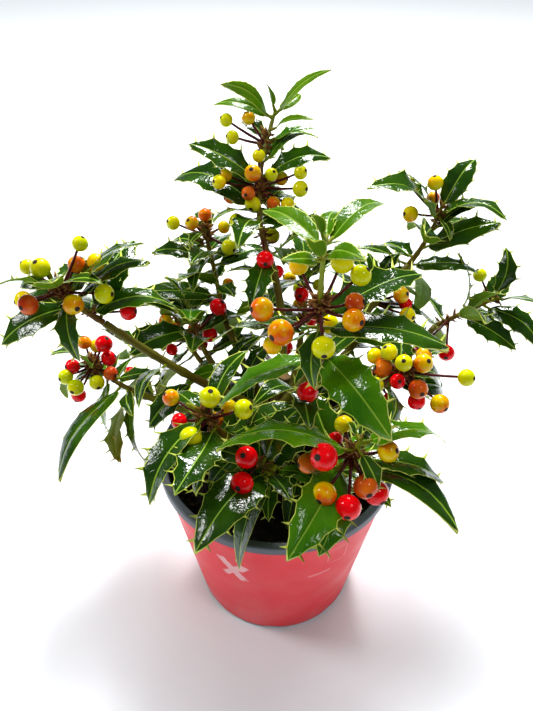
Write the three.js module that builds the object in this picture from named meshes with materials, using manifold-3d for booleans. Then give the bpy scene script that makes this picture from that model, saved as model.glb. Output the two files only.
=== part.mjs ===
// A young berry holly in a moulded nursery pot. Millimetres, +Z up, origin in the
// middle of the pot's underside, -Y towards the front of the plant.
//
// The plant is one trunk with a flared foot and a cut top, a tapering bough to each
// shoot, and on each bough one mass of foliage: a stem with spiny leaves and stalked
// berries that grow by a seeded rule.

import * as THREE from 'three';
import { mergeVertices } from 'three/addons/utils/BufferGeometryUtils.js';
import Module from 'manifold-3d';

const wasm = await Module();
wasm.setup();

// ---------------------------------------------------------------- driving dimensions

const CLEARANCE = 0.32;

// Pot
const POT_HEIGHT = 97;
const RIM_RADIUS = 60;
const BASE_RADIUS = 42.5;
const BASE_EDGE = 1;
const POT_WALL = 1.3;
const POT_FLOOR = 1.8;
const RIM_BAND = 5;
const RIM_OVERHANG = 1.6;
const RIM_LIP = 4;
const RIM_ROUNDING = 1;
const POT_SIDES = 36;
const FEET = 8;
const ARCH_WIDTH = 13;
const ARCH_HEIGHT = 2.2;
const ARCH_DEPTH = 14;
const ARCH_TURN = -3;
const SOIL_LEVEL = 86;
const SOIL_CROWN = 2;

// Trunk and boughs
const TRUNK_FOOT_RADIUS = 7.5;
const TRUNK_RADIUS = 4.6;
const TRUNK_TIP_RADIUS = 3.1;
const FLARE_HEIGHT = 7;
const TRUNK_LINE = [[0, 2, SOIL_LEVEL + CLEARANCE], [-1, 3, 112], [3, 5, 142]];
const TRUNK_SIDES = 10;
const TRUNK_STEPS = 9;
const BOUGH_RADIUS = 2.5;
const BOUGH_TIP_RADIUS = 1.7;
const BOUGH_SIDES = 6;
const BOUGH_STEPS = 4;

// Shoots
const STEM_RADIUS = 1.5;
const STEM_TIP_RADIUS = 0.8;
const STEM_SIDES = 6;
const STEM_STEPS = 4;
const GOLDEN_TURN = 137.5;
const LEAF_STALK = 4;
const LEAF_WIDTH = 0.22;
const LEAF_THICKNESS = 0.022;
const LEAF_BEND = [0.3, 1.1];
const LEAF_FOLD = [0.1, 0.38];
const LEAF_ROLL = 25;
const SLENDER_WIDTH = 0.14;
const SMOOTH_WIDTH = 0.17;
const SPINY_SHARE = 0.85;
const LEAF_ROOM = 0.8;
const BERRY_RADIUS = [3.4, 4.4];
const BERRY_TILT = [50, 110];
const BERRY_REACH = [8, 12];
const BERRY_SWELL = 1.08;
const BERRY_STALK_RADIUS = 0.55;
const FRUIT_SPAN = [0.25, 0.85];
const FRUIT_TURN = 60;
const FILL_SPAN = [0.15, 0.95];
const FILL_TURN = 110;
const FILL_TILT = [100, 45];
const FILL_SWAY = [-15, 15];
const FILL_LENGTH = [42, 20];
const FILL_SHARE = [0.85, 1.1];
const TRIALS = 12;

// Each shoot has a seed for the rule that it grows by, the height where its bough
// leaves the trunk, the bend of the bough, the stem's foot, middle and tip, and the
// leaves that shape its outline, as [place along the stem, turn round it, tilt from
// it, length] and, where the rule would turn the blade the wrong way, its roll. Its
// fruit hangs in clusters: the place that the stalks leave the stem from, then each
// berry as [x, y, z, radius]. The rule adds more leaves and berries. Leaves from the
// place "young" on are slender.
const SHOOTS = {
  leader: {
    seed: 101, height: 131, bend: [2, 26, 158], stem: [[-3, 48, 179], [-9, 66, 205], [-1, 93, 237]],
    leaves: [[0.98, -60, 65, 38, 55], [0.96, -145, 90, 33, -50], [0.97, 175, 95, 30, -45],
      [0.99, 40, 35, 22, 40], [0.9, -50, 85, 28, 45], [1, -120, 70, 16], [0.62, -15, 65, 35, 25],
      [0.6, -170, 70, 38, -30], [0.44, 157, 66, 53, -25], [0.4, -135, 100, 30], [0.36, -110, 120, 34],
      [0.4, 25, 90, 30, 25], [0.08, -125, 130, 34, 0]],
    fruit: [
      [0.56, [-9, 74, 222, 3.3], [-3, 66, 216, 3.2], [11, 66, 217, 3.5], [11, 63, 210, 4],
        [-2, 62, 203, 3.5], [5, 61, 203, 3.5], [-12, 61, 203, 4], [-14, 60, 209, 3.4],
        [-23, 70, 203, 3.8], [-25, 70, 214, 3.3], [-28, 64, 213, 3.5]],
      [0.82, [-25, 89, 234, 3.4], [-14, 89, 235, 3.4], [-22, 85, 227, 3.5]],
      [0.2, [-6, 41, 184, 4.4], [0, 48, 173, 3.5]],
    ],
    moreLeaves: 7, moreFruit: 2, young: 0.85,
  },
  crown_front: {
    seed: 102, height: 122, bend: [9, -13, 150], stem: [[17, -23, 176], [15, -26, 203], [15, -29, 232]],
    leaves: [[0.97, 50, 90, 38], [0.95, 125, 95, 38], [0.99, 75, 95, 26], [0.9, -65, 60, 28, 40],
      [0.86, -140, 65, 22, -40], [1, -140, 30, 15], [0.3, -10, 95, 50, -5], [0.36, -100, 120, 27, 20],
      [0.3, 175, 90, 43], [0.05, -62, 95, 47, 20], [0.02, -160, 95, 46, 10], [0.4, 25, 80, 46, 0]],
    fruit: [
      [0.47, [7, -14, 213, 3.9], [23, -18, 217, 4.6], [30, -21, 213, 4.2], [28, -26, 204, 4],
        [27, -33, 201, 4.5], [-7, -26, 201, 4.8], [0, -34, 196, 5.2], [-3, -30, 187, 3.9],
        [16, -38, 192, 4.6]],
      [0.15, [11, -36, 168, 4.4]],
    ],
    moreLeaves: 4, moreFruit: 1, young: 0.84,
  },
  north_west: {
    seed: 103, height: 113, bend: [-14, 26, 124], stem: [[-27, 51, 140], [-34, 69, 166], [-39, 80, 184]],
    leaves: [[0.55, -110, 115, 32], [0.62, -100, 100, 34], [0.5, -165, 65, 32, -15],
      [0.3, -65, 110, 24], [0.9, -125, 115, 16], [0.6, 30, 95, 28, 25]],
    fruit: [
      [0.83, [-54, 77, 185, 3.8], [-44, 75, 186, 3.7], [-38, 86, 185, 3.8], [-25, 71, 174, 4.3],
        [-28, 82, 180, 3.5]],
    ],
    moreLeaves: 5, moreFruit: 1,
  },
  west: {
    seed: 204, height: 118, bend: [-38, 4, 140], stem: [[-78, 7, 171], [-93, 8, 185], [-98, 9, 196]],
    leaves: [[0.35, -160, 70, 37, -15], [0.5, -105, 130, 30], [0.4, 25, 105, 38], [0.5, 25, 95, 42, 5],
      [0.75, -15, 100, 24], [0.2, 20, 135, 40], [0.7, 160, 70, 22]],
    fruit: [
      [0.6, [-86, 20, 204, 3.6], [-109, 14, 196, 3.5], [-101, 8, 199, 4.5], [-89, 19, 194, 4.2],
        [-80, 18, 196, 4.1], [-76, 8, 186, 4.5], [-88, 1, 185, 4.6],
        [-106, -2, 187, 4.5], [-111, 6, 184, 4.2]],
      [0.2, [-67, 9, 176, 4.1]],
    ],
    moreLeaves: 3, moreFruit: 1,
  },
  west_low: {
    seed: 105, height: 102, bend: [-38, 15, 105], stem: [[-77, 29, 111], [-91, 36, 115], [-102, 41, 122]],
    leaves: [[0.4, 15, 140, 27, 15], [0.5, -170, 120, 35], [0.2, -140, 85, 58, 0],
      [0.95, 155, 90, 42, 0], [0.05, -165, 125, 42, 25], [0.1, -100, 130, 24]],
    fruit: [
      [0.85, [-104, 49, 128, 3.9], [-98, 50, 125, 4], [-92, 44, 131, 4.8], [-91, 44, 121, 4.4],
        [-109, 37, 121, 4.2], [-89, 36, 117, 4], [-112, 32, 118, 4.2], [-106, 27, 115, 4.5],
        [-107, 31, 106, 4.2], [-96, 32, 114, 4.2]],
    ],
    moreLeaves: 4, moreFruit: 1,
  },
  south_west: {
    seed: 106, height: 106, bend: [-11, -10, 113], stem: [[-21, -25, 125], [-30, -29, 146], [-39, -30, 156]],
    leaves: [[0.5, 130, 80, 28], [0.35, -100, 65, 44], [0.1, -100, 60, 40], [0.6, -130, 90, 43],
      [0.3, 35, 155, 28]],
    fruit: [
      [0.52, [-46, -25, 155, 3.7], [-29, -28, 158, 4.6], [-22, -20, 145, 3.6],
        [-15, -29, 152, 4.4], [-43, -28, 144, 3.7], [-37, -39, 145, 4.9], [-49, -40, 140, 3.9]],
    ],
    moreLeaves: 4, moreFruit: 1,
  },
  front_low: {
    seed: 208, height: 95, bend: [-1, -13, 100], stem: [[-3, -28, 110], [-7, -33, 121], [-13, -35, 128]],
    leaves: [[0.3, -120, 55, 52], [0.2, -55, 60, 26], [0.6, 100, 110, 28]],
    fruit: [
      [0.7, [-14, -37, 131, 5], [-16, -43, 121, 5.1]],
    ],
    moreLeaves: 4, moreFruit: 0,
  },
  south_east: {
    seed: 108, height: 104, bend: [11, -21, 110], stem: [[24, -44, 128], [28, -52, 147], [31, -54, 159]],
    leaves: [[1, 95, 100, 16], [0.85, -55, 110, 19], [0.7, 180, 95, 54], [0.95, 10, 75, 36],
      [0.35, -30, 75, 50, -25], [0.3, -120, 80, 48], [0.2, -105, 85, 38], [0.1, -35, 70, 26]],
    fruit: [
      [0.6, [17, -57, 153, 5.5], [11, -54, 146, 4.2], [17, -67, 143, 5], [26, -41, 155, 3.9],
        [23, -42, 147, 3.4], [42, -56, 155, 4.4], [33, -65, 145, 5], [26, -71, 140, 5.2],
        [38, -63, 139, 5.2]],
    ],
    moreLeaves: 2, moreFruit: 0,
  },
  east: {
    seed: 109, height: 109, bend: [19, 0, 119], stem: [[39, -5, 136], [55, -4, 150], [63, -4, 158]],
    leaves: [[0.35, -90, 100, 28], [0.5, 15, 85, 26, 25], [0.2, 90, 50, 28], [0.9, 45, 65, 18]],
    fruit: [
      [0.6, [50, 0, 160, 4], [45, 6, 153, 3.8], [48, -2, 152, 4.4],
        [55, -9, 161, 3.9], [66, 0, 158, 3.8], [64, -8, 160, 4.4], [41, 1, 146, 3.8],
        [44, -9, 148, 3.9], [62, -14, 150, 4.5], [63, -12, 141, 4.2],
        [72, -17, 144, 4.5], [83, -12, 155, 4]],
    ],
    moreLeaves: 4, moreFruit: 1,
  },
  north_east: {
    seed: 110, height: 125, bend: [33, 33, 143], stem: [[69, 66, 166], [79, 73, 179], [85, 79, 194]],
    leaves: [[0.93, 40, 25, 34, 10], [0.9, -50, 75, 36], [0.3, -40, 40, 41, 25], [0.85, -65, 120, 17],
      [0.8, -155, 80, 48, -10], [0.85, 160, 60, 31], [0.6, -30, 35, 30], [0.02, -10, 50, 38, 15],
      [0.02, 175, 110, 30, 0]],
    fruit: [
      [0.85, [68, 86, 202, 3.6], [81, 84, 204, 4.1], [82, 87, 194, 3.7], [69, 77, 190, 4.3]],
    ],
    moreLeaves: 3, moreFruit: 0,
  },
  far_east: {
    seed: 111, height: 98, bend: [45, 30, 104], stem: [[89, 63, 129], [106, 66, 137], [121, 67, 145]],
    leaves: [[0.97, 160, 55, 28, -35], [0.98, -95, 50, 30, 20], [0.4, -45, 60, 35, 50],
      [0.75, -45, 60, 39, 25], [0.45, 180, 75, 36, -25]],
    fruit: [
      [0.9, [112, 76, 154, 3.9]],
      [0.2, [92, 45, 124, 4.6], [78, 45, 129, 4.3]],
    ],
    moreLeaves: 4, moreFruit: 0,
  },
  mid_east: {
    seed: 112, height: 118, bend: [23, 24, 124], stem: [[48, 47, 138], [49, 55, 151], [55, 59, 160]],
    leaves: [[0.8, 130, 50, 22], [0.5, 10, 90, 44], [0.6, 130, 60, 24], [0.9, 160, 15, 20],
      [0.8, 30, 40, 27, 10]],
    fruit: [
      [0.5, [64, 50, 158, 4.4], [68, 53, 150, 3.7], [67, 43, 150, 4.4], [57, 63, 158, 3.8],
        [40, 50, 150, 3.5]],
    ],
    moreLeaves: 3, moreFruit: 1,
  },
  mid_west: {
    seed: 113, height: 107, bend: [-21, 17, 117], stem: [[-36, 34, 131], [-43, 42, 143], [-46, 50, 155]],
    leaves: [[0.5, -150, 90, 36], [0.3, -80, 90, 34], [0.8, 170, 60, 30]],
    fruit: [
      [0.4, [-30, 45, 154, 4.6], [-53, 43, 141, 3.7]],
    ],
    moreLeaves: 6, moreFruit: 1,
  },
  north: {
    seed: 214, height: 107, bend: [8, 32, 110], stem: [[14, 62, 122], [17, 78, 138], [17, 88, 156]],
    leaves: [[0.9, 90, 60, 36], [0.4, -10, 85, 40], [0.35, -150, 90, 36, 0], [0.2, 145, 110, 36, 0],
      [0.75, -120, 100, 42, 10]],
    fruit: [
      [0.25, [5, 55, 120, 4.6], [0, 64, 130, 4]],
    ],
    moreLeaves: 8, moreFruit: 5,
  },
  north_west_low: {
    seed: 115, height: 94, bend: [-19, 28, 97], stem: [[-42, 56, 108], [-54, 68, 122], [-60, 76, 138]],
    leaves: [[0.5, 150, 75, 42], [0.3, 60, 85, 40]],
    fruit: [],
    moreLeaves: 8, moreFruit: 5,
  },
};

// ---------------------------------------------------------------- vectors and chance

const UP = new THREE.Vector3(0, 0, 1);
const EAST = new THREE.Vector3(1, 0, 0);
const LIGHT = new THREE.Vector3(-5, -230, 340);

const vector = (point) => new THREE.Vector3(...point);
const radians = THREE.MathUtils.degToRad;
const mix = THREE.MathUtils.lerp;

// The same sequence of draws for the same seed, so the plant always grows alike.
class Chance {
  constructor(seed) {
    this.state = seed * 2654435;
  }

  next() {
    this.state = (Math.imul(this.state, 1664525) + 1013904223) >>> 0;
    return this.state / 4294967296;
  }

  between([low, high]) {
    return mix(low, high, this.next());
  }
}

// A curve that passes through three points, the middle one half way along.
class Limb {
  constructor(foot, middle, tip) {
    this.foot = foot;
    this.pull = middle.clone().multiplyScalar(2).addScaledVector(foot, -0.5).addScaledVector(tip, -0.5);
    this.tip = tip;
  }

  at(t) {
    return this.foot.clone().multiplyScalar((1 - t) ** 2)
      .addScaledVector(this.pull, 2 * t * (1 - t))
      .addScaledVector(this.tip, t * t);
  }

  heading(t) {
    return this.pull.clone().sub(this.foot).multiplyScalar(1 - t)
      .addScaledVector(this.tip, t)
      .addScaledVector(this.pull, -t)
      .normalize();
  }
}

// Two directions square to a heading, found by tipping the upright frame onto it.
function sidesOf(heading) {
  const across = EAST.clone().addScaledVector(heading.clone().add(UP), -heading.x / (1 + heading.z));
  return [across, heading.clone().cross(across)];
}

// A direction that leaves a stem at a turn round it and a tilt from it, in degrees.
function leaving(heading, turn, tilt) {
  const [across, along] = sidesOf(heading);
  return heading.clone().multiplyScalar(Math.cos(radians(tilt)))
    .addScaledVector(across, Math.sin(radians(tilt)) * Math.cos(radians(turn)))
    .addScaledVector(along, Math.sin(radians(tilt)) * Math.sin(radians(turn)))
    .normalize();
}

// ---------------------------------------------------------------- solids

// A closed solid from its corners and its triangles.
function solidOf(corners, triangles) {
  const mesh = new wasm.Mesh({
    numProp: 3,
    vertProperties: Float32Array.from(corners.flatMap((corner) => corner.toArray())),
    triVerts: Uint32Array.from(triangles.flat()),
  });
  return new wasm.Manifold(mesh);
}

// The solid of a three.js geometry, with its shared corners joined.
function solidOfGeometry(geometry) {
  geometry.deleteAttribute('normal');
  geometry.deleteAttribute('uv');
  const merged = mergeVertices(geometry, 1e-4);
  const mesh = new wasm.Mesh({
    numProp: 3,
    vertProperties: Float32Array.from(merged.attributes.position.array),
    triVerts: Uint32Array.from(merged.index.array),
  });
  return new wasm.Manifold(mesh);
}

// The largest whole piece of a solid: loose scraps and sealed hollows are dropped.
function wholePiece(solid) {
  const pieces = solid.decompose();
  pieces.sort((one, other) => other.volume() - one.volume());
  return pieces[0];
}

// A skin over rings of points with the same count, closed at both ends.
function loft(rings) {
  const sides = rings[0].length;
  const triangles = [];
  for (let ring = 0; ring < rings.length - 1; ring += 1) {
    for (let side = 0; side < sides; side += 1) {
      const a = ring * sides + side;
      const b = ring * sides + (side + 1) % sides;
      triangles.push([a, b, b + sides], [a, b + sides, a + sides]);
    }
  }
  const last = (rings.length - 1) * sides;
  for (let side = 1; side < sides - 1; side += 1) {
    triangles.push([0, side + 1, side], [last, last + side, last + side + 1]);
  }
  return solidOf(rings.flat(), triangles);
}

function ringRound(centre, heading, radius, sides) {
  const [across, along] = sidesOf(heading);
  return Array.from({ length: sides }, (_, side) => {
    const angle = 2 * Math.PI * side / sides;
    return centre.clone()
      .addScaledVector(across, radius * Math.cos(angle))
      .addScaledVector(along, radius * Math.sin(angle));
  });
}

// A tapering round limb along a curve; radiusAt gives its radius along the way, and
// "facing" the way that its last ring faces.
function limbSolid(limb, radiusAt, sides, steps, { from = 0, facing = limb.heading(1) } = {}) {
  const rings = [];
  for (let step = 0; step <= steps; step += 1) {
    const t = mix(from, 1, step / steps);
    rings.push(ringRound(limb.at(t), step < steps ? limb.heading(t) : facing, radiusAt(t), sides));
  }
  return loft(rings);
}

// ---------------------------------------------------------------- pot and soil

const wallTop = POT_HEIGHT - RIM_BAND;
const outerWall = (z) => mix(BASE_RADIUS + BASE_EDGE, RIM_RADIUS - RIM_OVERHANG, z / wallTop);
const innerWall = (z) => outerWall(z) - POT_WALL;

function turned(profile) {
  const geometry = new THREE.LatheGeometry(profile.map(([r, z]) => new THREE.Vector2(r, z)), POT_SIDES);
  geometry.rotateX(Math.PI / 2);
  return solidOfGeometry(geometry);
}

// The pot: a tapering wall with a rolled rim, and drain arches between its feet.
function potSolid() {
  const shell = turned([
    [0, 0],
    [BASE_RADIUS, 0],
    [outerWall(BASE_EDGE), BASE_EDGE],
    [outerWall(wallTop), wallTop],
    [RIM_RADIUS, wallTop + RIM_ROUNDING / 2],
    [RIM_RADIUS, POT_HEIGHT - RIM_ROUNDING],
    [RIM_RADIUS - RIM_ROUNDING, POT_HEIGHT],
    [RIM_RADIUS - RIM_LIP + RIM_ROUNDING, POT_HEIGHT],
    [RIM_RADIUS - RIM_LIP, POT_HEIGHT - RIM_ROUNDING],
    [innerWall(wallTop), wallTop],
    [innerWall(POT_FLOOR), POT_FLOOR],
    [0, POT_FLOOR],
  ]);
  const cuts = [];
  for (let foot = 0; foot < FEET; foot += 1) {
    const turn = radians(ARCH_TURN + 360 * foot / FEET - 90);
    const arch = new THREE.CylinderGeometry(ARCH_WIDTH / 2, ARCH_WIDTH / 2, ARCH_DEPTH, 8);
    arch.scale(1, 1, ARCH_HEIGHT / (ARCH_WIDTH / 2));
    arch.rotateZ(-Math.PI / 2);
    arch.translate(BASE_RADIUS + BASE_EDGE, 0, 0);
    arch.rotateZ(turn);
    cuts.push(solidOfGeometry(arch));
  }
  return shell.subtract(wasm.Manifold.union(cuts));
}

function soilSolid() {
  const foot = POT_FLOOR + CLEARANCE;
  return turned([
    [0, foot],
    [innerWall(foot) - CLEARANCE, foot],
    [innerWall(SOIL_LEVEL - SOIL_CROWN) - CLEARANCE, SOIL_LEVEL - SOIL_CROWN],
    [RIM_RADIUS / 2, SOIL_LEVEL - SOIL_CROWN / 4],
    [TRUNK_FOOT_RADIUS * 1.5, SOIL_LEVEL],
    [0, SOIL_LEVEL],
  ]);
}

// ---------------------------------------------------------------- trunk and boughs

const trunkLimb = new Limb(...TRUNK_LINE.map(vector));

function trunkRadius(t) {
  const height = trunkLimb.at(t).z - TRUNK_LINE[0][2];
  const flare = (TRUNK_FOOT_RADIUS - TRUNK_RADIUS) * Math.exp(-height / FLARE_HEIGHT * 2);
  return mix(TRUNK_RADIUS, TRUNK_TIP_RADIUS, t) + flare;
}

function trunkSolid(extra = 0) {
  const solid = limbSolid(trunkLimb, (t) => trunkRadius(t) + extra, TRUNK_SIDES, TRUNK_STEPS);
  const ground = new THREE.BoxGeometry(80, 80, 40);
  ground.translate(0, 0, TRUNK_LINE[0][2] - 20);
  return solid.subtract(solidOfGeometry(ground));
}

// The place on the trunk's centre line at a height.
function trunkAt(height) {
  let t = 0;
  while (trunkLimb.at(t).z < height) t += 0.01;
  return trunkLimb.at(t);
}

// A bough from the trunk to the foot of a shoot's stem, cut square to that stem.
function boughSolid(plan) {
  const stem = new Limb(...plan.stem.map(vector));
  const limb = new Limb(trunkAt(plan.height), vector(plan.bend), stem.foot);
  const radiusAt = (t) => mix(BOUGH_RADIUS, BOUGH_TIP_RADIUS, t);
  return limbSolid(limb, radiusAt, BOUGH_SIDES, BOUGH_STEPS, { facing: stem.heading(0) });
}

// ---------------------------------------------------------------- leaves and berries

// Stations along a blade as [place, half width, lift of the margin], in shares.
const SPINY_BLADE = [[0.28, 1, 0.12], [0.66, 0.95, -0.08]];
const SMOOTH_BLADE = [[0.28, 0.85, 0], [0.64, 0.85, 0]];

// A leaf with a stalk that starts at a point inside the stem, and a blade folded along
// its midrib. The blade bends from above its direction to below it, so that its tip
// lies on the direction. A leaf with no roll of its own rolls by chance.
class Leaf {
  constructor(limb, place, turn, tilt, length, roll, slender, chance) {
    const heading = limb.heading(place);
    this.root = limb.at(place);
    this.direction = leaving(heading, turn, tilt);
    this.bend = chance.between(LEAF_BEND);
    this.fold = chance.between(LEAF_FOLD);
    const sway = chance.between([-LEAF_ROLL, LEAF_ROLL]);
    const spiny = chance.next() < SPINY_SHARE;
    this.stations = spiny && !slender ? SPINY_BLADE : SMOOTH_BLADE;
    this.facing = heading.multiplyScalar(0.5).add(UP);
    this.facing.addScaledVector(this.direction, -this.facing.dot(this.direction));
    this.facing.normalize().applyAxisAngle(this.direction, radians(roll ?? sway));
    this.side = this.direction.clone().cross(this.facing);
    this.length = length;
    this.blade = length - LEAF_STALK;
    this.half = length * (slender ? SLENDER_WIDTH : spiny ? LEAF_WIDTH : SMOOTH_WIDTH);
  }

  // How far the midrib stands above the straight line to the tip.
  arch(share) {
    return this.blade * this.bend * share * (1 - share) / 2;
  }

  // A point at a share of the blade, so far across it and so far above it.
  point(share, across, above) {
    return this.root.clone()
      .addScaledVector(this.direction, LEAF_STALK + this.blade * share)
      .addScaledVector(this.side, across * Math.cos(this.fold))
      .addScaledVector(this.facing, this.arch(share) + Math.abs(across) * Math.sin(this.fold) + above);
  }

  touches(point, room) {
    const offset = point.clone().sub(this.root);
    const along = offset.dot(this.direction) - LEAF_STALK;
    const across = Math.abs(offset.dot(this.side));
    const above = offset.dot(this.facing) - this.arch(along / this.blade) - across * Math.sin(this.fold);
    return along > 0 && along < this.blade + room && across < this.half + room && Math.abs(above) < room;
  }

  // Whether part of the blade stands between a berry and the light.
  shades(berry) {
    const way = LIGHT.clone().sub(berry.centre).normalize();
    return [0.1, 0.3, 0.5, 0.7, 0.9].some((share) => [-0.8, 0, 0.8].some((width) => {
      const offset = this.point(share, width * this.half, 0).sub(berry.centre);
      const ahead = offset.dot(way);
      return ahead > 0 && offset.addScaledVector(way, -ahead).length() < berry.radius;
    }));
  }

  solid() {
    const thick = this.length * LEAF_THICKNESS / 2;
    const corners = [this.root];
    for (const [share, width, lift] of [[0, 0.1, 0], ...this.stations]) {
      const across = this.half * width;
      corners.push(
        this.point(share, 0, thick),
        this.point(share, across, this.half * lift),
        this.point(share, 0, -thick),
        this.point(share, -across, this.half * lift),
      );
    }
    corners.push(this.point(1, 0, 0));
    const rings = this.stations.length;
    const triangles = [];
    for (let corner = 0; corner < 4; corner += 1) {
      const next = (corner + 1) % 4;
      triangles.push([0, 1 + next, 1 + corner]);
      for (let ring = 0; ring < rings; ring += 1) {
        const a = 1 + 4 * ring + corner;
        const b = 1 + 4 * ring + next;
        // Both faces of the blade fold along the same line, from the midrib out and forward.
        if (corner % 2 === 0) {
          triangles.push([a, b, b + 4], [a, b + 4, a + 4]);
        } else {
          triangles.push([a, b, a + 4], [b, b + 4, a + 4]);
        }
      }
      triangles.push([1 + 4 * rings + corner, 1 + 4 * rings + next, corners.length - 1]);
    }
    return solidOf(corners, triangles);
  }
}

// A round berry on a thin stalk that starts inside the stem.
class Berry {
  constructor(root, centre, radius) {
    this.root = root;
    this.centre = centre;
    this.direction = centre.clone().sub(root).normalize();
    this.radius = radius;
  }

  // Three corners go round the stalk and six round the berry.
  solid() {
    const radius = this.radius * BERRY_SWELL;
    const along = (share) => this.centre.clone().addScaledVector(this.direction, share * radius);
    const waist = radius * Math.cos(radians(30));
    const corners = [
      ...ringRound(this.root, this.direction, BERRY_STALK_RADIUS, 3),
      ...ringRound(along(-1), this.direction, BERRY_STALK_RADIUS, 3),
      ...ringRound(along(-0.5), this.direction, waist, 6),
      ...ringRound(along(0.5), this.direction, waist, 6),
      along(1),
    ];
    const triangles = [[0, 2, 1]];
    for (let side = 0; side < 3; side += 1) {
      const next = (side + 1) % 3;
      const wide = 6 + 2 * side;
      triangles.push([side, next, 3 + next], [side, 3 + next, 3 + side]);
      triangles.push([3 + side, wide + 1, wide], [3 + side, 3 + next, wide + 1]);
      triangles.push([3 + next, 6 + 2 * next, wide + 1]);
    }
    for (let side = 0; side < 6; side += 1) {
      const next = (side + 1) % 6;
      triangles.push([6 + side, 6 + next, 12 + next], [6 + side, 12 + next, 12 + side]);
      triangles.push([12 + side, 12 + next, 18]);
    }
    return solidOf(corners, triangles);
  }
}

// ---------------------------------------------------------------- shoots

// Everything that has grown so far, so that the rule's own leaves and berries find
// free places between their neighbours.
const grownLeaves = [];
const grownBerries = [];

const leafHasRoom = (leaf) => grownBerries.every((berry) => !leaf.touches(berry.centre, berry.radius))
  && [0.2, 0.5, 0.8].every((share) => [-0.7, 0, 0.7].every((width) => {
    const point = leaf.point(share, width * leaf.half, 0);
    return grownLeaves.every((other) => !other.touches(point, LEAF_ROOM));
  }));

const berryHasRoom = (berry) => grownLeaves.every((leaf) => !leaf.touches(berry.centre, berry.radius))
  && grownBerries.every((other) => other.centre.distanceTo(berry.centre) > other.radius + berry.radius);

class Shoot {
  constructor(plan) {
    this.plan = plan;
    this.chance = new Chance(plan.seed);
    this.limb = new Limb(...plan.stem.map(vector));
    this.grown = [];
  }

  leafAt(place, turn, tilt, length, roll) {
    const slender = place >= (this.plan.young ?? Infinity);
    return new Leaf(this.limb, place, turn, tilt, length, roll, slender, this.chance);
  }

  keep(piece, list) {
    this.grown.push(piece);
    list.push(piece);
  }

  growPlannedBerries() {
    for (const [place, ...cluster] of this.plan.fruit) {
      for (const [x, y, z, radius] of cluster) {
        this.keep(new Berry(this.limb.at(place), vector([x, y, z]), radius), grownBerries);
      }
    }
  }

  // A planned leaf always grows, in the first of a few bends and rolls that has room.
  growPlannedLeaves() {
    for (const planned of this.plan.leaves) {
      let leaf = this.leafAt(...planned);
      for (let trial = 1; trial < TRIALS && !leafHasRoom(leaf); trial += 1) {
        leaf = this.leafAt(...planned);
      }
      this.keep(leaf, grownLeaves);
    }
  }

  growMoreBerries() {
    for (let berry = 0; berry < this.plan.moreFruit; berry += 1) {
      const place = mix(...FRUIT_SPAN, berry / this.plan.moreFruit);
      for (let trial = 0; trial < TRIALS; trial += 1) {
        const turn = GOLDEN_TURN * (berry + trial) + FRUIT_TURN;
        const direction = leaving(this.limb.heading(place), turn, this.chance.between(BERRY_TILT));
        const root = this.limb.at(place);
        const centre = root.clone().addScaledVector(direction, this.chance.between(BERRY_REACH));
        const candidate = new Berry(root, centre, this.chance.between(BERRY_RADIUS));
        if (berryHasRoom(candidate)) {
          this.keep(candidate, grownBerries);
          break;
        }
      }
    }
  }

  growMoreLeaves() {
    for (let leaf = 0; leaf < this.plan.moreLeaves; leaf += 1) {
      const place = mix(...FILL_SPAN, leaf / this.plan.moreLeaves);
      for (let trial = 0; trial < TRIALS; trial += 1) {
        const turn = GOLDEN_TURN * (leaf + trial) + FILL_TURN;
        const tilt = mix(...FILL_TILT, place) + this.chance.between(FILL_SWAY);
        const length = mix(...FILL_LENGTH, place ** 2) * this.chance.between(FILL_SHARE);
        const candidate = this.leafAt(place, turn, tilt, length);
        if (leafHasRoom(candidate) && !grownBerries.some((berry) => candidate.shades(berry))) {
          this.keep(candidate, grownLeaves);
          break;
        }
      }
    }
  }

  stemSolid() {
    const from = CLEARANCE / this.limb.foot.distanceTo(this.limb.pull) / 2;
    const radiusAt = (t) => mix(STEM_RADIUS, STEM_TIP_RADIUS, t);
    return limbSolid(this.limb, radiusAt, STEM_SIDES, STEM_STEPS, { from });
  }

  // The stem with all that grew on it, less what would touch the solids around.
  solid(around) {
    const isClear = (solid) => around.every((other) => solid.minGap(other, 2 * CLEARANCE) > CLEARANCE);
    const pieces = this.grown.map((piece) => piece.solid()).filter(isClear);
    return wholePiece(wasm.Manifold.union([this.stemSolid(), ...pieces]));
  }
}

// ---------------------------------------------------------------- the plant

const finishes = {
  pot: new THREE.MeshStandardMaterial({ color: 0xc2464d, roughness: 0.45 }),
  soil: new THREE.MeshStandardMaterial({ color: 0x1f1a17, roughness: 1 }),
  bark: new THREE.MeshStandardMaterial({ color: 0x7a7355, roughness: 0.8 }),
  foliage: new THREE.MeshStandardMaterial({ color: 0x2f5a2c, roughness: 0.35 }),
};

const group = new THREE.Group();

function addNode(name, solid, finish) {
  const mesh = solid.getMesh();
  const geometry = new THREE.BufferGeometry();
  geometry.setAttribute('position', new THREE.BufferAttribute(mesh.vertProperties, 3));
  geometry.setIndex(new THREE.BufferAttribute(mesh.triVerts, 1));
  geometry.computeVertexNormals();
  const node = new THREE.Mesh(geometry, finish);
  node.name = name;
  group.add(node);
}

const pot = potSolid();
const soil = soilSolid();
const trunk = trunkSolid();
const standing = [pot, soil, trunk];
addNode('pot', pot, finishes.pot);
addNode('soil', soil, finishes.soil);
addNode('trunk', trunk, finishes.bark);

const trunkRoom = trunkSolid(CLEARANCE);
for (const [name, plan] of Object.entries(SHOOTS)) {
  const bough = wholePiece(boughSolid(plan).subtract(trunkRoom));
  addNode(`${name}_bough`, bough, finishes.bark);
  standing.push(bough);
}

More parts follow.
